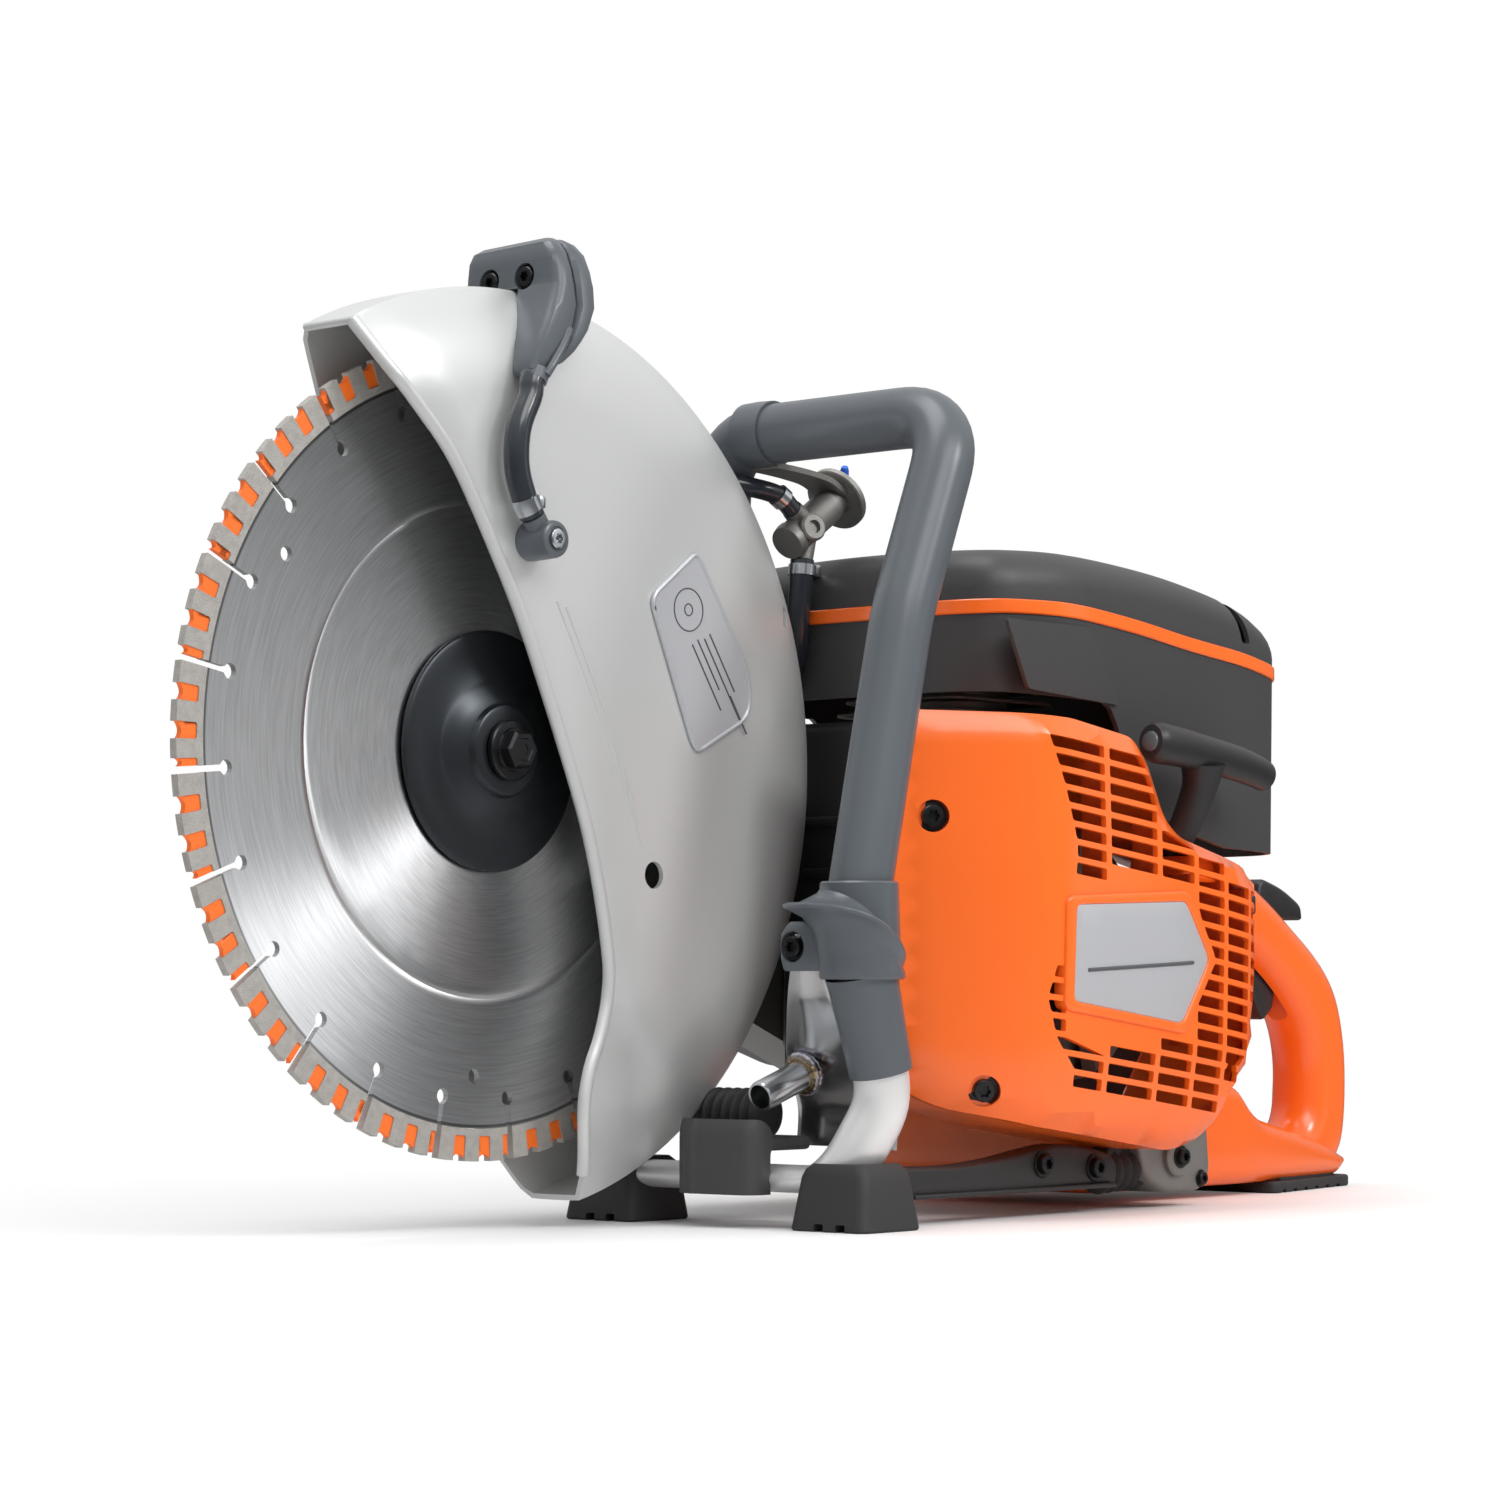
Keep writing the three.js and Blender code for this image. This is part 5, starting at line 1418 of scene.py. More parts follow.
spine = smooth_line([(101, -78, -104, -84), (102.5, -90, -106, -82), (107, -103, -107, -76),
                     (117, -116, -107, -66),
                     (128, -131, -106, -56), (140, -146, -105, -50), (146, -156, -104, -47),
                     (146, -171, -103, -46)], 4)
rows = []
for x, z, left, right in spine:
    across = np.linspace(0, 1, 15)
    roll = np.clip((np.abs(across - 0.5) - 0.36) / 0.14, 0, 1) ** 2
    dent = np.exp(-((across - 0.62) / 0.16) ** 2) * 2.2
    rows.append(np.stack([x + 7 * roll - dent, left + (right - left) * across, z - 1.5 * roll], 1))
sheet(rows, 2.6, "tinted_steel", "pressed_bracket", "chassis", "plated_steel", ["front_bracket"],
      ((128, -80, -131), (-0.8, 0, 0.5)))
slope = np.array((-0.95, 0, -0.31)) / np.linalg.norm((0.95, 0.31))
foot_of_stub = np.array(STUB_FOOT, float) + (3, 0, 1)
stub = swept([foot_of_stub + slope * t for t in (0, 17, 32, 33.4)], [6.7, 6.7, 6.7, 6.3], 32, bore=5.4)
piece("trolley_tube", [stub], LOOK["plated"], "chassis", "plated_steel", ["trolley_stub"], sharp=40)
random = np.random.default_rng(7)
around = np.linspace(0, 2 * np.pi, 57)
side_way, up_way = np.array((0, 1, 0)), np.cross(slope, (0, 1, 0))
bumps = 2.3 + 0.5 * np.abs(np.sin(around * 9)) + 0.15 * random.random(57)
weld = [foot_of_stub + slope * 2.4 + 7.6 * (math.cos(a) * side_way + math.sin(a) * up_way)
        for a in around]
bumps[-1] = bumps[0]
piece("stub_weld", [swept(weld, bumps, 14)], LOOK["tinted_steel"], "chassis", "plated_steel", sharp=60)
at_spots("collar_screw", torx(), [((100.4, -90, -83.5), (-1, 0, 0), 1.0)],
         "bolt_black", "chassis", "black_steel")
at_spots("bracket_bolts", torx(),
         [((148, -96, -160), (-0.9, -0.2, 0.3), 0.8), ((104, -62, -176), (0, -0.4, -1), 0.9)],
         "cast_alloy", "chassis", "plated_steel")

# %% Feet, shield and bellows
for side, y in (("left", -113), ("right", 20)):
    levels = [-205, -204, -198, -190, -182, -178.5, -176.4]
    foot = stacked(levels, [(-205, 92.6, 132, y - 20.4, y + 20.4, 5),
                            (-204, 92, 132.6, y - 21, y + 21, 5),
                            (-182, 95.6, 129.4, y - 18.4, y + 18.2, 5),
                            (-178.5, 96.6, 128.4, y - 17, y + 16.6, 5),
                            (-176.4, 99, 126, y - 15, y + 14, 4)], 4)
    cuts = [rounded_box((80, y + k - 2.6, -208), (140, y + k + 2.6, -201.6), 0.8, 2) for k in (-8, 4)]
    carved_piece("rubber_foot_" + side, [foot], cuts, LOOK["rubber_skin"], "chassis", "black_rubber",
                 ["front_foot_" + side])
print("front frame made,", len(PIECES), "pieces so far")

# %% [markdown]
# ## The top cover
# The cover is a thin black shell over the cylinder and the filter. Its top falls away to the
# rear in one long curve and every upper edge is softly rounded. It is a relief plate over the
# plan outline: the height comes from the side view, less the round-over at the edge. The walls
# drop to a lower edge that steps down over the starter. Its grained skin comes from the mould.


# %% Cover shell
def along(points, x):
    points = np.array(points, float)
    return np.interp(x, points[:, 0], points[:, 1])


COVER_PLAN = smooth_line(rounded([(213, 62), (213, -88), (222, -108), (262, -120), (405, -120),
                                  (440, -113), (454, -96),
                                  (459, -66), (459, 34), (450, 55), (430, 62)], 16, 4), 1, closed=True)
TOP_LINE = smooth_line([(205, 97), (222, 100.5), (260, 102.5), (300, 101.5), (350, 97.5), (395, 90.5),
                        (425, 82), (445, 72), (462, 58)], 8)
LOW_LINE = [(205, 34), (290, 31), (296, 24), (303, 8), (321, -16), (350, -27), (388, -34), (470, -36)]


def cover_height(flat, distance):
    radius = np.interp(flat[:, 0], (213, 400, 459), (17, 15, 10))
    fall = roundover(distance, radius)
    return along(TOP_LINE, flat[:, 0]) - fall - 0.0011 * (flat[:, 1] + 30) ** 2 * 0.4


flat, tris, loops, gap = net([COVER_PLAN], 7.5, ring_depths(16, 7), longest=5)
height = cover_height(flat, gap)
top_shell = (np.column_stack([flat, height]), [tuple(t) for t in tris])
edge = flat[loops[0]]
edge_top = height[loops[0]]
edge_low = along(LOW_LINE, edge[:, 0])
centre = edge.mean(0)
walls = []
for t in np.linspace(0, 1, 9):
    inward = 1 - 0.012 * t
    walls.append(np.column_stack([centre + (edge - centre) * inward,
                                  edge_top + (edge_low - edge_top) * t]))
wall_shell_cover = loft(walls, caps=False)
cover_bm = thickened(bmesh_of(top_shell, wall_shell_cover), 2.6, ((330, -20, 102), (0, 0, 1)))
cover = add_object("engine_cover", cover_bm, LOOK["charcoal_skin"], 38)
louvre = plate([rounded([(391, 90), (399, 90), (409, 66), (401, 66)], 2.5, 4)], -128, -106, 0.3, 8,
               both=False)
register(carve(cover, louvre), "chassis", "charcoal_plastic", ["top_cover"])
ledge = plate([rounded([(386, 84), (406, 80), (412, 62), (394, 62)], 2.5, 3)], -108, -104, 0.3, 8)
piece("cover_louvre_back", [ledge], LOOK["black_skin"], "chassis", "charcoal_plastic")
badge = [(211, 65), (275, 65), (297, 30), (227, 34)]
badge_panel = plate([rounded(badge, 2, 3)], -120.9, -118.5, 0.5, 8, both=False)
piece("cover_badge_panel", [badge_panel], LOOK["charcoal_skin"], "chassis", "charcoal_plastic", sharp=50)
print("engine_cover", len(cover.data.polygons), "faces")

# %% Trim band round the cover
BAND_LINE = smooth_line([(205, 72), (230, 72.4), (262, 72), (310, 68), (355, 62.5), (400, 58),
                         (440, 53.5), (465, 51)], 6)
band_edge = divided(COVER_PLAN, 5)
tangent = np.roll(band_edge, -1, 0) - np.roll(band_edge, 1, 0)
outward_way = np.stack([tangent[:, 1], -tangent[:, 0]], 1) / np.linalg.norm(tangent, axis=1)[:, None]
if (outward_way * (band_edge - centre)).sum() < 0:
    outward_way = -outward_way
middle = along(BAND_LINE, band_edge[:, 0])
rings = []
for lift, out_by in ((-3.3, -1.6), (-3.3, 0.5), (-2.7, 1.05), (2.7, 1.05), (3.3, 0.5), (3.3, -1.6)):
    rings.append(np.column_stack([band_edge + outward_way * out_by, middle + lift]))
band_points, band_faces = loft(rings, caps=False)
n = len(band_edge)
band_faces += [(k, (k + 1) % n, 5 * n + (k + 1) % n, 5 * n + k) for k in range(n)]
piece("cover_trim_band", [(band_points, band_faces)], LOOK["orange_gloss"], "chassis", "orange_plastic",
      ["trim_band"], sharp=40)

# %% [markdown]
# ## The starter housing and its grille
# The glossy orange housing wraps the flywheel side. Its front turns in towards the muffler, its
# face is pierced by rows of slots for cooling air, and the slots tilt with the casting. Every
# slot is a hole in the triangle net, so the grille has real depth, and ribs stand behind it.
# The rows are worked out from the face's own curved borders instead of being placed by hand.

# %% Housing outline, relief and slots
HOUSING = rounded([(158, 23), (204, 21.5), (232, 20), (274, 13), (284, 2), (296, -24), (308, -32),
                   (330, -37), (393, -50),
                   (386, -88), (371, -131), (354, -152), (340, -171), (316, -177), (266, -170),
                   (216, -163),
                   (178, -154), (163, -143), (158, -126)],
                  (6, 3, 3, 5, 5, 8, 5, 5, 5, 9, 9, 9, 9, 9, 3, 3, 9, 5, 5), 4)
PLAN = smooth_line([(150, -88), (158, -93), (172, -106), (190, -123), (204, -135.5), (217, -142.5),
                    (240, -146),
                    (300, -150), (352, -148.5), (374, -141), (388, -128), (397, -112)], 6)


def housing_face(flat, distance):
    x, z = flat.T
    chamfer = np.maximum(-130 - z, 0) * 0.12 + np.maximum(-158 - z, 0) * 0.3
    bulge = -2.5 * np.exp(-((z + 55) / 75) ** 2)
    return along(PLAN, x) + roundover(distance, 5.5) + chamfer + bulge


def grille_left(z):
    return along([(-140, 228), (-129, 217), (-107, 211), (-89, 216.5), (-62, 225), (-39, 228),
                  (-13, 221), (20, 209)], z)


def grille_right(z):
    if z > -30:
        return along([(-30, 291), (-24, 289), (0, 278), (16, 266)], z)
    return along([(-140, 352), (-131, 361), (-88, 378), (-56, 385), (-50, 386)], z)


LABEL = [(226, -64), (303, -61.5), (322, -88), (301, -117.5), (225, -107)]
TILT = math.tan(math.radians(-7.5))
PITCH_Z, GAP_Z, WEB = 7.9, 5.3, 3.4
COLUMNS = [205, 249, 285, 313, 338, 362, 392]


def label_right(z):
    return along([(-130, 292), (-117.5, 306), (-88, 327.5), (-61.5, 308), (-52, 300)], z)


slots_cut = []
for row in range(21):
    for k in range(len(COLUMNS) - 1):
        x0, x1 = COLUMNS[k] + WEB / 2, COLUMNS[k + 1] - WEB / 2
        quad = []
        for x_side, sign in ((x0, 0), (x1, 1)):
            for level in (0, GAP_Z):
                z = 20.5 - row * PITCH_Z - level + (x_side - 210) * TILT
                low_x = max(x0, grille_left(z))
                high_x = min(x1, grille_right(z))
                if -122 < z < -57 and low_x < label_right(z) and x1 > 224:
                    if x1 < 262 and low_x < 219:
                        high_x = min(high_x, 221.5)
                    else:
                        low_x = max(low_x, label_right(z) + 1)
                quad.append((low_x, high_x, z))
        left, right = quad[:2], quad[2:]
        xl = [max(left[j][0], right[j][0]) for j in (0, 1)]
        xr = [min(left[j][1], right[j][1]) for j in (0, 1)]
        if min(xr[0] - xl[0], xr[1] - xl[1]) < 3.5:
            continue
        top = 20.5 - row * PITCH_Z
        corners = [(x, top - level * GAP_Z + (x - 210) * TILT)
                   for x, level in ((xl[0], 0), (xr[0], 0), (xr[1], 1), (xl[1], 1))]
        ring = rounded(corners, 1.0, 2)
        if inside(ring, [HOUSING]).all() and edge_distance(ring, [HOUSING]).min() > 4.0:
            slots_cut.append(ring)
print(len(slots_cut), "slots in the grille")

# %% Housing shell
flat, tris, loops, gap = net([HOUSING] + slots_cut, 7.5, (), longest=5.5)
rim_gap = edge_distance(flat, [HOUSING])
front = housing_face(flat, rim_gap)
face_plate = slab(flat, tris, loops, front + 2.8, front)
rim_line = flat[loops[0]]
rim_y = housing_face(rim_line, np.zeros(len(rim_line)))
middle_of = rim_line.mean(0)
skirt = []
for t in np.linspace(0, 1, 6):
    y = rim_y + (-84 - rim_y) * t
    skirt.append(np.column_stack([rim_line[:, 0], y, rim_line[:, 1]]))
inner_rim = middle_of + (rim_line - middle_of) * 0.975
for t in np.linspace(1, 0, 4):
    y = rim_y + 1.5 + (-84 - rim_y - 1.5) * t
    skirt.append(np.column_stack([inner_rim[:, 0], y, inner_rim[:, 1]]))
skirt_points, skirt_faces = loft(skirt, caps=False)
n = len(rim_line)
last = len(skirt) - 1
skirt_faces += [(last * n + k, last * n + (k + 1) % n, (k + 1) % n, k) for k in range(n)]


def face_y(x, z):
    return float(housing_face(np.array([(x, z)], float), np.array([20.0]))[0])


SCREW_PLACES = [(172.5, -25.0), (191.0, -147.0)]
recess_cuts, housing_spots = [], []
for x, z in SCREW_PLACES:
    y = face_y(x, z)
    axis = Vector((-0.62, -0.78, 0.0 if z > -100 else -0.2)).normalized()
    base = Vector((x, y, z)) - axis * 2.4
    recess_cuts.append(turned([(0, 7.2), (12, 7.6)], base, axis, 28))
    housing_spots.append((tuple(base - axis * 1.4), tuple(axis), 1.12))
boss_hole = turned([(0, 5), (14, 5)], (346, face_y(346, -140) + 4, -140), (0, -1, 0), 24)
carved_piece("starter_housing", [face_plate, (skirt_points, skirt_faces)],
             recess_cuts + [boss_hole], LOOK["orange_gloss"],
             "chassis", "orange_plastic", ["starter_cover"], sharp=40)
# The cups in the recesses take the darker orange: painted shade where the screws sit deep.
cups = [turned([(0, 7.3), (-3, 7.3), (-3, 0.1)], spot, axis, 28) for spot, axis, _ in housing_spots]
piece("housing_screw_seats", cups, LOOK["orange_inside"], "chassis", "orange_plastic")
at_spots("housing_screws", torx(), housing_spots, "bolt_black", "chassis", "black_steel")

# %% Ribs behind the grille, the label and its frame
ribs = []
for x in COLUMNS[1:-1]:
    high_z = 10 if x < 270 else (-26 if x < 300 else -47 - (x - 300) * 0.12)
    low_z = -128 if x < 360 else -100
    y = face_y(x, (low_z + high_z) / 2)
    ribs.append(rounded_box((x - 1.4, y + 3, low_z), (x + 1.4, y + 15, high_z), 0.5, 1))
well = turned([(0, 26), (0, 29), (20, 29), (20, 26), (0, 26)], (285, -137, -86), (0, 1, 0), 40)
# The ribs and the well take the darker orange: painted shade behind the grille.
piece("housing_ribs", ribs + [well], LOOK["orange_inside"], "chassis", "orange_plastic", sharp=30)
# A black plate closes the housing's back: painted shade seen through the slots.
back = plate([middle_of + (divided(HOUSING, 9) - middle_of) * 0.93], -88, -85.6, 0.5, 16)
piece("housing_back_wall", [back], LOOK["black_skin"], "chassis", "charcoal_plastic")
frame_outline = rounded([(220, -60), (305, -56.5), (328, -88), (304, -122.5), (219.5, -111)], 5, 4)
inner_line = rounded(LABEL, 3.5, 4)


def on_face(loops, proud, depth, edge, spacing):
    """A thin pad that follows the housing's face."""
    flat, tris, numbers, d = net(loops, spacing, ring_depths(edge, 3))
    base = housing_face(flat, np.full(len(flat), 20.0))
    return slab(flat, tris, numbers, base + depth, base - proud + roundover(d, edge))


piece("label_frame", [on_face([frame_outline, inner_line], 1.6, 5, 1.1, 6)], LOOK["orange_gloss"],
      "chassis",
      "orange_plastic", sharp=40)
piece("starter_label", [on_face([inner_line], 0.8, 3, 0.3, 8)], LOOK["label_silver"], "chassis",
      "cast_alloy", sharp=40)
rule_line = np.array([(234 + 7.5 * k, 0, -93.2 + 0.36 * k) for k in range(11)])
rule_line[:, 1] = [face_y(x, z) - 0.75 for x, _, z in rule_line]
piece("starter_label_rule", [swept(rule_line, 0.9, 8)], LOOK["label_ink"], "chassis", "cast_alloy",
      sharp=60)
print("starter housing made")

# %% [markdown]
# ## The starter's pull handle
# A T of soft black plastic sits in a seat on the housing. Its bar is an oval that thickens to
# the middle, and the stem flows out of it. The rope runs from its seat in the housing to the
# stem.

# %% Pull handle and rope
BAR = smooth_line([(289, -144, 12), (305, -145.5, 10.6), (322, -146, 8.8), (354, -146, 4.8),
                   (374, -144.5, 1.6),
                   (384, -143, -0.4)], 6)
t = np.linspace(0, 1, len(BAR))
thick = 9.4 - 2.4 * t
thick[0], thick[-1] = thick[0] * 0.8, thick[-1] * 0.72
thick[1] *= 0.97
section = np.stack([0.95 * np.cos(turns), 1.05 * np.sin(turns)], 1)
bar = swept(BAR, thick, section=section)
stem_path = smooth_line([(329, -145.5, 4), (330, -142.5, -8), (328.5, -136, -24), (325.5, -129, -39)], 6)
stem = swept(stem_path, np.interp(np.linspace(0, 1, len(stem_path)), (0, 0.3, 0.75, 1),
                                  (10.6, 8.4, 7.0, 7.4)), 26)
piece("pull_grip", [bar, stem], LOOK["black_skin"], "recoil_handle", "charcoal_plastic",
      ["pull_handle"], sharp=55)
plug = turned([(0, 4.8), (0.9, 4.3), (1.3, 3.4), (1.3, 0.1)], (288.8, -144, 12.1), (-1, 0.1, 0.09), 28)
piece("pull_grip_plug", [plug], LOOK["grip_skin"], "recoil_handle", "charcoal_plastic")
seat = loft([np.column_stack([round_rect(314 + k, 341 - k * 0.6, -146 + k, -112, 4, 4), np.full(20, z)])
             for k, z in ((0, -52), (0.5, -46), (1.6, -42), (3, -40))])
rope_hole = turned([(0, 3.4), (20, 4.4)], (325, -128, -52.5), (0.1, -0.1, 1), 20)
carved_piece("rope_seat", [seat], [rope_hole], LOOK["orange_gloss"], "chassis", "orange_plastic",
             sharp=40)
ROPE = smooth_line([(324, -127.5, -50), (325.5, -129, -38), (327.5, -134, -26)], 12)
piece("starter_cord", [swept(ROPE, 1.9, 12)], LOOK["rubber_skin"],
      ("chassis", "recoil_handle", ROPE[2], ROPE[-6]), "hose_rubber", ["starter_rope"], sharp=60)
print("pull handle made")

# %% [markdown]
# ## Exhaust, cylinder and what shows behind the covers
# The muffler fills the front of the engine, and the light alloy cylinder carries thin cooling
# fins that can be seen in the gaps. The fins are a stack of rounded plates round a turned barrel.

# %% Muffler with pressed seams, and the finned cylinder
shell = rounded_box((211.6, -79.5, -147.6), (229.4, 13.5, 21.6), 4, 4)
seam = plate([rounded([(-81, -149), (15, -149), (15, 23), (-81, 23)], 7, 4)], 219.6, 221.8, 0.8, 12,
             plane="yz")
ribs = [rounded_box((209.8, -66, z - 2.5), (212.4, 0, z + 2.5), 1.0, 2)
        for z in (-120, -96, -72, -48, -24)]
outlet = swept([(222, -55, -135), (210, -58, -137), (202, -60, -142)], [9, 9, 8.6], 24, bore=7)
piece("exhaust_muffler", [shell, seam, outlet] + ribs, LOOK["exhaust_black"], "chassis",
      "black_steel", ["muffler"])
fins = []
for k, z in enumerate(np.arange(-21.5, 47, 6.2)):
    reach = 0 if k < 9 else 3
    fins.append(plate([rounded([(242 + reach, -68 + reach), (328 - reach, -68 + reach),
                                (328 - reach, 10 - reach),
                                (242 + reach, 10 - reach)], 12, 4),
                       arc(27, 0, 360, 30, (285, -29))[:-1]],
                      z - 0.9, z + 0.9, 0.6, 14, plane="xy"))
barrel = turned([(0, 25.7), (0, 29), (74, 29), (76, 27), (76, 25.7), (0, 25.7)], (285, -29, -22),
                (0, 0, 1), 40)
crown = turned([(0, 24.6), (0, 27), (6, 24), (7, 12), (7, 6), (0, 6)], (285, -29, 48), (0, 0, 1), 40)
piece("finned_cylinder", fins + [barrel, crown], LOOK["cast_alloy"], "chassis", "cast_alloy",
      ["cylinder"], sharp=30)
print("engine made,", len(PIECES), "pieces so far")

# %% [markdown]
# ## Shield, bellows and the low rail
# Under the engine a moulded shield and two pairs of bellows keep slurry away from the spring
# dampers. Bellows are turned profiles with a fold every few millimetres. A low side rail, a
# damper and its cast mount join the front frame to the tank.

# %% Shield and bellows
bend_plan = smooth_line([(99, -76.5), (93, -76.5), (88.5, -74.5), (86, -70), (84.8, -58),
                         (84.6, -46), (86, -36), (92, -30)], 6)
from_end = np.concatenate([[0], np.cumsum(np.linalg.norm(np.diff(bend_plan, axis=0), axis=1))])
corner = 11 - np.sqrt(np.maximum(121 - np.maximum(11 - from_end, 0) ** 2, 0))
rows = []
for t in np.linspace(0, 1, 12):
    lean = 2.2 * np.clip(t - 0.75, 0, 1) ** 2 * 16
    ridge = 1.3 * np.exp(-((bend_plan[:, 1] + 44) / 1.6) ** 2)
    rows.append(np.column_stack([bend_plan[:, 0] - ridge + lean, bend_plan[:, 1],
                                 -190.5 + t * (32.5 - corner)]))
shelf = rounded_box((92, -72, -172), (132, -38, -166), 2, 3)
sheet(rows, 2.4, "charcoal_skin", "slurry_shield", "chassis", "charcoal_plastic", ["front_shield"],
      ((84, -60, -175), (-1, 0, 0)), extra=[shelf])


def bellows(start, axis, length, low_r, high_r, folds):
    """A corrugated sleeve: each fold is a rounded crest between two valleys."""
    profile = [(0, low_r - 2)]
    for i in range(folds * 8 + 1):
        wave = (1 - math.cos(2 * math.pi * i / 8)) / 2
        profile.append((length * i / (folds * 8), low_r + (high_r - low_r) * wave**0.7))
    return turned(profile + [(length, low_r - 2)], start, axis, 32)


piece("front_bellows", [bellows((132, -48, -157), (0, 1, 0), 50, 8.0, 11.4, 9)],
      LOOK["rubber_skin"], "chassis",
      "black_rubber", ["corrugated_sleeve"], sharp=60)
piece("rail_bellows", [bellows((302, -100, -187), (1, 0, 0.05), 34, 8, 10.8, 5)],
      LOOK["rubber_skin"], "chassis",
      "black_rubber", ["damper_boot"], sharp=60)
rail = plate([rounded([(132, -179), (186, -180), (214, -178), (238, -174.5), (262, -172),
                       (292, -176), (305, -181), (304, -192),
                       (262, -192.5), (216, -193.5), (132, -193)],
                      (3, 9, 9, 9, 9, 9, 5, 4, 9, 9, 3), 4)], -113, -100, 2.2, 7)
flange = rounded_box((150, -116, -193.6), (300, -108, -191.4), 0.9, 2)
piece("low_side_rail", [rail, flange], LOOK["black_skin"], "chassis", "charcoal_plastic", ["side_rail"])
mount_side = rounded([(322, -172), (350, -173), (366, -159), (378, -161), (381, -190), (373, -198),
                      (344, -198), (328, -191)],
                     (5, 5, 4, 4, 6, 5, 5, 6), 4)
mount = plate([mount_side], -113, -82.6, 3.0, 6)
hub = turned([(0, 9.4), (3.5, 9.6), (4.4, 8.8), (4.6, 6.4)], (351, -111.5, -181), (0, -1, 0), 32)
arm_rib = plate([rounded([(306, -176), (345, -166), (372, -156), (374, -163), (346, -176),
                          (308, -186)], 3, 4)], -106, -96, 1.5, 6)
piece("damper_casting", [mount, hub], LOOK["cast_alloy"], "chassis", "cast_alloy", ["damper_mount"])
piece("damper_strut", [arm_rib], LOOK["black_skin"], "chassis", "charcoal_plastic")
at_spots("rail_bolts", torx(),
         [((246, -112.8, -181), (0, -1, 0), 1.05), ((286, -112.8, -184), (0, -1, 0), 1.05),
          ((351, -115.8, -181), (0, -1, 0), 0.9), ((372, -112.6, -192), (0, -1, 0), 0.7)],
         "bolt_black", "chassis", "black_steel")
print("rail and damper made")

# %% [markdown]
# ## Tank and rear handle
# The fuel tank, its neck and the closed loop handle are one blow-moulded orange part. The loop
# is a relief plate with a hole. Its height over the middle plane is a full round near every
# edge, which makes the grip's oval section all along the curve without a single sweep.

# %% Loop handle and tank
MID_Y = -45.0
LOOP = smooth_line([(428, -150), (430, -92), (433, -64), (447, -48), (468, -41), (490, -42),
                    (514, -52), (541, -68),
                    (566, -85), (582, -104), (590, -130), (591, -158), (587, -182), (577, -197)], 4)
LOOP = np.vstack([LOOP, [(566, -199.3), (500, -199.3), (430, -199.3)]])
WINDOW = rounded([(466, -96), (478, -84), (498, -84), (526, -102), (546, -120), (552, -140), (550, -166),
                  (541, -176), (488, -172), (468, -158)], (10, 8, 8, 14, 12, 12, 10, 9, 10, 12), 5)
flat, tris, loops, gap = net([LOOP, WINDOW], 6.5, ring_depths(16, 7), longest=5)
half = np.interp(flat[:, 0], (430, 480, 540, 600), (30, 19, 17, 16.5))
belly = np.clip(gap / 17, 0, 1)
rise = half * np.sqrt(np.clip(1 - (1 - belly) ** 2.3, 0, 1))
loop_shell = slab(flat, tris, loops, MID_Y + rise, MID_Y - rise)
tank_side = rounded([(305, -154), (338, -149), (380, -146), (452, -148), (472, -166), (560, -182),
                     (584, -190),
                     (574, -199.2), (330, -199.2), (305, -192)], (8, 9, 9, 10, 12, 9, 6, 6, 6, 8), 5)
flat, tris, loops, gap = net([tank_side], 7, ring_depths(9, 5))
narrow = np.clip((flat[:, 0] - 455) / 120, 0, 1) ** 1.3
drop = roundover(gap, 9)
tank_shell = slab(flat, tris, loops, 42 - drop - 52 * narrow, -82.5 + drop + 18 * narrow)
seats = [rounded_box((506, MID_Y - 6.4, -122), (543, MID_Y + 6.4, -79), 2, 2),
         rounded_box((511, MID_Y - 7.4, -74), (561, MID_Y + 7.4, -30), 2, 2)]
loop = add_object("loop_handle_and_tank", bmesh_of(loop_shell), LOOK["orange_gloss"], 45)
register(carve(loop, *seats), "chassis", "orange_plastic", ["rear_handle"])
piece("fuel_tank", [tank_shell], LOOK["orange_gloss"], "chassis", "orange_plastic", sharp=45)
foot_plan = rounded([(486, -80), (560, -66), (585, -62), (585, -28), (560, -22), (486, 4)], 6, 4)
pad = plate([foot_plan], -205, -199, 1.4, 8, plane="xy")
bumper = plate([rounded([(500, -74), (556, -64), (572, -60), (572, -54), (500, -66)], 2, 3)], -203,
               -186, 1.5, 6, plane="xy")
treads = [rounded_box((496 + 14 * k, -90, -207), (500 + 14 * k, 10, -203.2), 0.5, 1) for k in range(6)]
carved_piece("rear_rubber_foot", [pad, bumper], treads, LOOK["rubber_skin"], "chassis",
             "black_rubber", ["rear_foot"])
cap_profile = [(0, 16), (0, 19), (9, 19), (11.5, 17.8), (12.6, 15.5), (12.6, 8), (11.4, 7), (11.4, 0.1)]
cap_ring = turned(cap_profile, (400, 42.6, -174), (0, 1, 0), 48)
knurl = rounded_box((-1.5, 0.5, 17.6), (1.5, 10, 20.0), 0.6, 2)
grip_bar = rounded_box((385, 52.5, -176.5), (415, 56.2, -171.5), 1.4, 3)
piece("tank_cap_moulding", [cap_ring, grip_bar], LOOK["black_skin"], "tank_cap", "charcoal_plastic",
      ["fuel_cap"])
ring_of("tank_cap_knurls", template("knurl", knurl), 18, 10, "black_skin", "tank_cap",
        "charcoal_plastic",
        centre=(400, 42.6, -174))

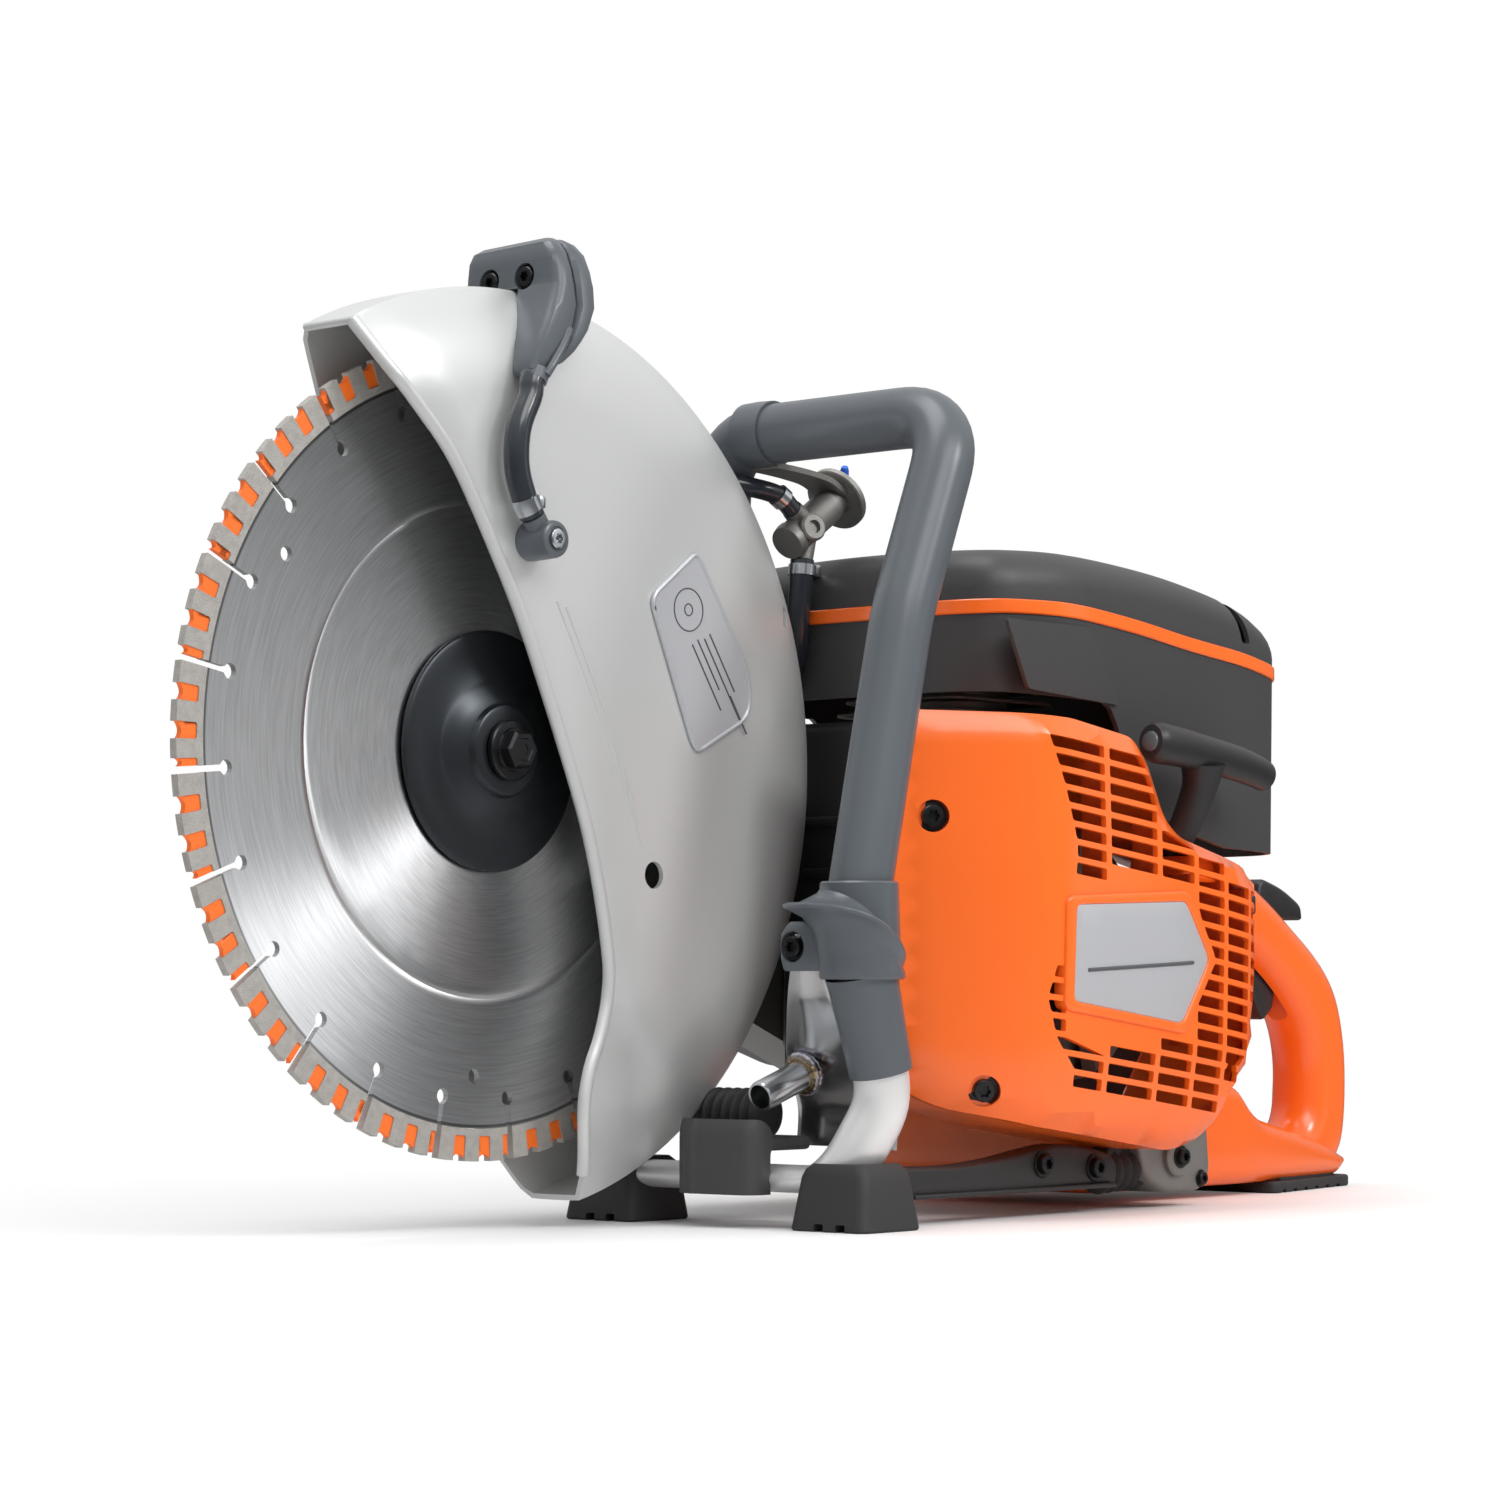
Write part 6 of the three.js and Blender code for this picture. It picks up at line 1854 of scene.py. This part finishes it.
# %% Trigger, lock, stop switch and choke
trigger = plate([rounded([(508, -82.5), (533, -98.5), (531, -112), (521, -119), (514, -108),
                          (506.5, -96)],
                         (3, 3, 4, 4, 14, 4), 5)], MID_Y - 5.2, MID_Y + 5.2, 2.2, 5)
piece("trigger_lever", [trigger], LOOK["black_skin"], "trigger", "charcoal_plastic",
      ["throttle_trigger"])
lockout = plate([rounded([(513, -64), (558, -66), (557, -58), (540, -49.5), (519, -44)],
                         (2, 2, 6, 14, 5), 6)],
                MID_Y - 6, MID_Y + 6, 2.4, 5)
piece("lockout_lever", [lockout], LOOK["black_skin"], "lockout", "charcoal_plastic",
      ["throttle_lockout"])
slider = rounded_box((470.4, -70, -64), (486, -63.4, -54), 1.6, 3)
thumb = rounded_box((475.4, -72.6, -62.4), (480.6, -67.5, -55.6), 1.1, 3)
piece("stop_switch_slider", [slider, thumb], LOOK["black_skin"], "stop_slider", "charcoal_plastic",
      ["stop_switch"])
choke = turned([(0, 3.5), (2.5, 3.5), (3, 8.8), (5, 9.1), (12, 8.6), (13.6, 7.2), (14, 4),
                (14, 0.1)], (458.4, 0, 8), (1, 0, 0), 36)
piece("choke_button", [choke], LOOK["black_skin"], "choke", "charcoal_plastic", ["choke_knob"])
print("rear handle and controls made")

# %% [markdown]
# ## The water tap and its hoses
# A small cast tap hangs from the handle's bar on a stamped flange. Its lever is two little blue
# tabs. One hose comes to it and one leads on to the guard.

# %% Tap, flange, hose bands and feed hose
TAP = np.array((212.0, -4.0, 117.0))
TAP_WAY = np.array((0.83, 0, 0.56)) / np.linalg.norm((0.83, 0.56))


def tap(distance):
    """A point on the tap's own line."""
    return tuple(TAP + TAP_WAY * distance)


valve = turned([(0, 5), (0, 8.2), (3, 8.8), (5, 8.8), (6, 8.2), (36, 8.2), (37, 7.4), (42, 7.4),
                (43.4, 7)], tap(-20), TAP_WAY, 36)
boss = turned([(0, 6.8), (4, 6.6), (5, 5.6), (5, 3.2), (3, 3.0), (3, 0.1)], tap(-8),
              (-0.3, -0.95, 0.1), 32)
boss = (boss[0] + np.array((-1.4, -6.2, 0.6)), boss[1])
spout = swept([(210, -4, 113), (206.5, -4, 97)], [5, 4.6], 20)
inlet = swept([(204, -4, 119), (199, -4, 122)], [5.4, 5], 20)
piece("tap_valve", [valve, boss, spout, inlet], LOOK["cast_alloy"], "chassis", "cast_alloy",
      ["tap_body"])
flange = turned([(0, 15), (0.5, 15.6), (3, 15.6), (3.6, 15)], tap(22), TAP_WAY, 40)
sheet([[(x, y, z) for y in np.linspace(-13, 5, 7)] for x, z in
               smooth_line([(178, 141.4), (190, 141), (204, 140), (218, 138), (231, 132)], 4)],
              2.6, "cast_alloy", "tap_strap", "chassis", "cast_alloy",
      outward=((204, -4, 141), (0, 0, 1)))
clip_ring = swept([(178, -12, 155), (178, -4, 155), (178, 4, 155)], [15.2, 15.5, 15.2], 40, bore=14.1)
piece("tap_flange", [flange], LOOK["cast_alloy"], "chassis", "cast_alloy", ["tap_bracket"])
piece("tap_clip", [clip_ring], LOOK["grip_skin"], "chassis", "cast_alloy")
knob = turned([(0, 6), (0.8, 6.8), (4, 6.8), (5, 6)], tap(27), TAP_WAY, 28)
tabs = [swept([np.array(tap(29.6)) + way * t for t in (0, 6, 12, 14)], [2.6, 2.3, 2.1, 1.5], 16)
        for way in (np.array((-0.42, -0.42, 0.8)), np.array((0.1, 0.85, -0.5)))]
piece("tap_lever_knob", [knob] + tabs, LOOK["blue_plastic"], "water_lever", "blue_plastic",
      ["tap_lever"])
supply = swept(smooth_line([(206.4, -4, 99), (205.4, -4, 90), (206, -2, 74), (210, 4, 52),
                            (216, 16, 34)], 6), 5.6, 20)
piece("supply_hose_end", [supply], LOOK["hose_skin"], "chassis", "hose_rubber")
bands = [swept([(206.6, -4, 96.5), (206.1, -4, 91.5)], 6.6, 28, bore=5.5),
         rounded_box((209.4, -8, 91), (216, -1, 97), 1, 2),
         swept([(193.4, -3.6, 126), (189.6, -3, 128.4)], 5.5, 28, bore=4.4)]
piece("tap_hose_bands", bands, LOOK["plated"], "chassis", "plated_steel")
FEED = smooth_line([(37.5, 9, 204), (50, 12, 202), (72, 24, 197), (104, 36, 183), (136, 37, 162),
                    (152, 28, 146),
                    (162, 14, 134), (176, 2, 131), (190, -3, 128), (199, -4, 122)], 10)
piece("feed_hose_tube", [swept(FEED, 4.6, 22)], LOOK["hose_skin"],
      ("chassis", "guard", (150, 22, 150), (40, 9, 204)), "hose_rubber", ["feed_hose"], sharp=60)
print("tap and hoses made")

# %% [markdown]
# ## Cutting arm and belt cover
# The far side of the saw carries the cast arm that reaches out to the blade's spindle, and the
# cover over its belt. The cover is a relief plate over an outline of two circles and their
# common tangents, one round the spindle and one round the clutch.


# %% Two circles and their tangents
def belt_outline(small, large, steps=30):
    far = np.array((285.0, -86.0))
    length = np.linalg.norm(far)
    way = math.degrees(math.atan2(far[1], far[0]))
    lean = math.degrees(math.acos((small - large) / length))
    return np.vstack([arc(small, way + lean, way + 360 - lean, steps),
                      arc(large, way - lean, way + lean, steps, far)])


flat, tris, loops, gap = net([belt_outline(52, 54)], 9, ring_depths(7, 5))
face = 82 - roundover(gap, 7) - 2.6 * np.clip((gap - 16) / 5, 0, 1)
cover_shell = slab(flat, tris, loops, 56.6, face)
hub_ring = turned([(0, 24), (4, 23.4), (5, 22), (5, 17), (2, 16), (2, 0.1)], (0, 77.5, 0), (0, 1, 0), 48)
piece("belt_guard_cover", [cover_shell, hub_ring], LOOK["charcoal_skin"], "chassis",
      "charcoal_plastic", ["belt_cover"])
at_spots("belt_cover_screws", torx(),
         [((x, 80.2, z), (0, 1, 0), 1.0) for x, z in ((-36, 18), (6, -42), (42, 32), (244, -46),
                                                      (324, -102), (262, -126))],
         "bolt_black", "chassis", "black_steel")
print("belt cover made")

# %% [markdown]
# ## Finishes for the CAD pieces that stay
# Pieces inside the saw, such as the crankshaft, the belt and the bearings, are seen only in
# slits, and their CAD shapes are right as they are. They keep their meshes and get the same
# finishes in their material slots.

# %% Materials for the pieces left as the CAD made them
KEPT = {
    "plated": ["blade_spindle", "spindle_bearing_left", "spindle_bearing_right", "piston", "crankshaft"],
    "cast_alloy": ["driven_pulley", "clutch_drum", "cutting_arm", "crankcase", "flywheel",
                   "carburettor"],
    "rubber_skin": ["drive_belt", "spark_plug_cap"],
    "charcoal_skin": ["air_filter"],
}
for look, names in KEPT.items():
    for name in names:
        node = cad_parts[name]
        for slot in node.material_slots:
            slot.material = LOOK[look]
left_over = [name for name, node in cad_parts.items() if not node.hide_render]
print(len(left_over), "CAD pieces stay:", left_over)

# %% [markdown]
# ## The CAD box
# The CAD model's box is printed, with the number of pieces made. The visual model has to stay
# in the CAD model's box, give or take three per cent of each side.

# %% Sizes, and the count of pieces
print("CAD box", [round(v, 4) for v in (*cad_low, *cad_high)])
print(len(PIECES), "pieces made")
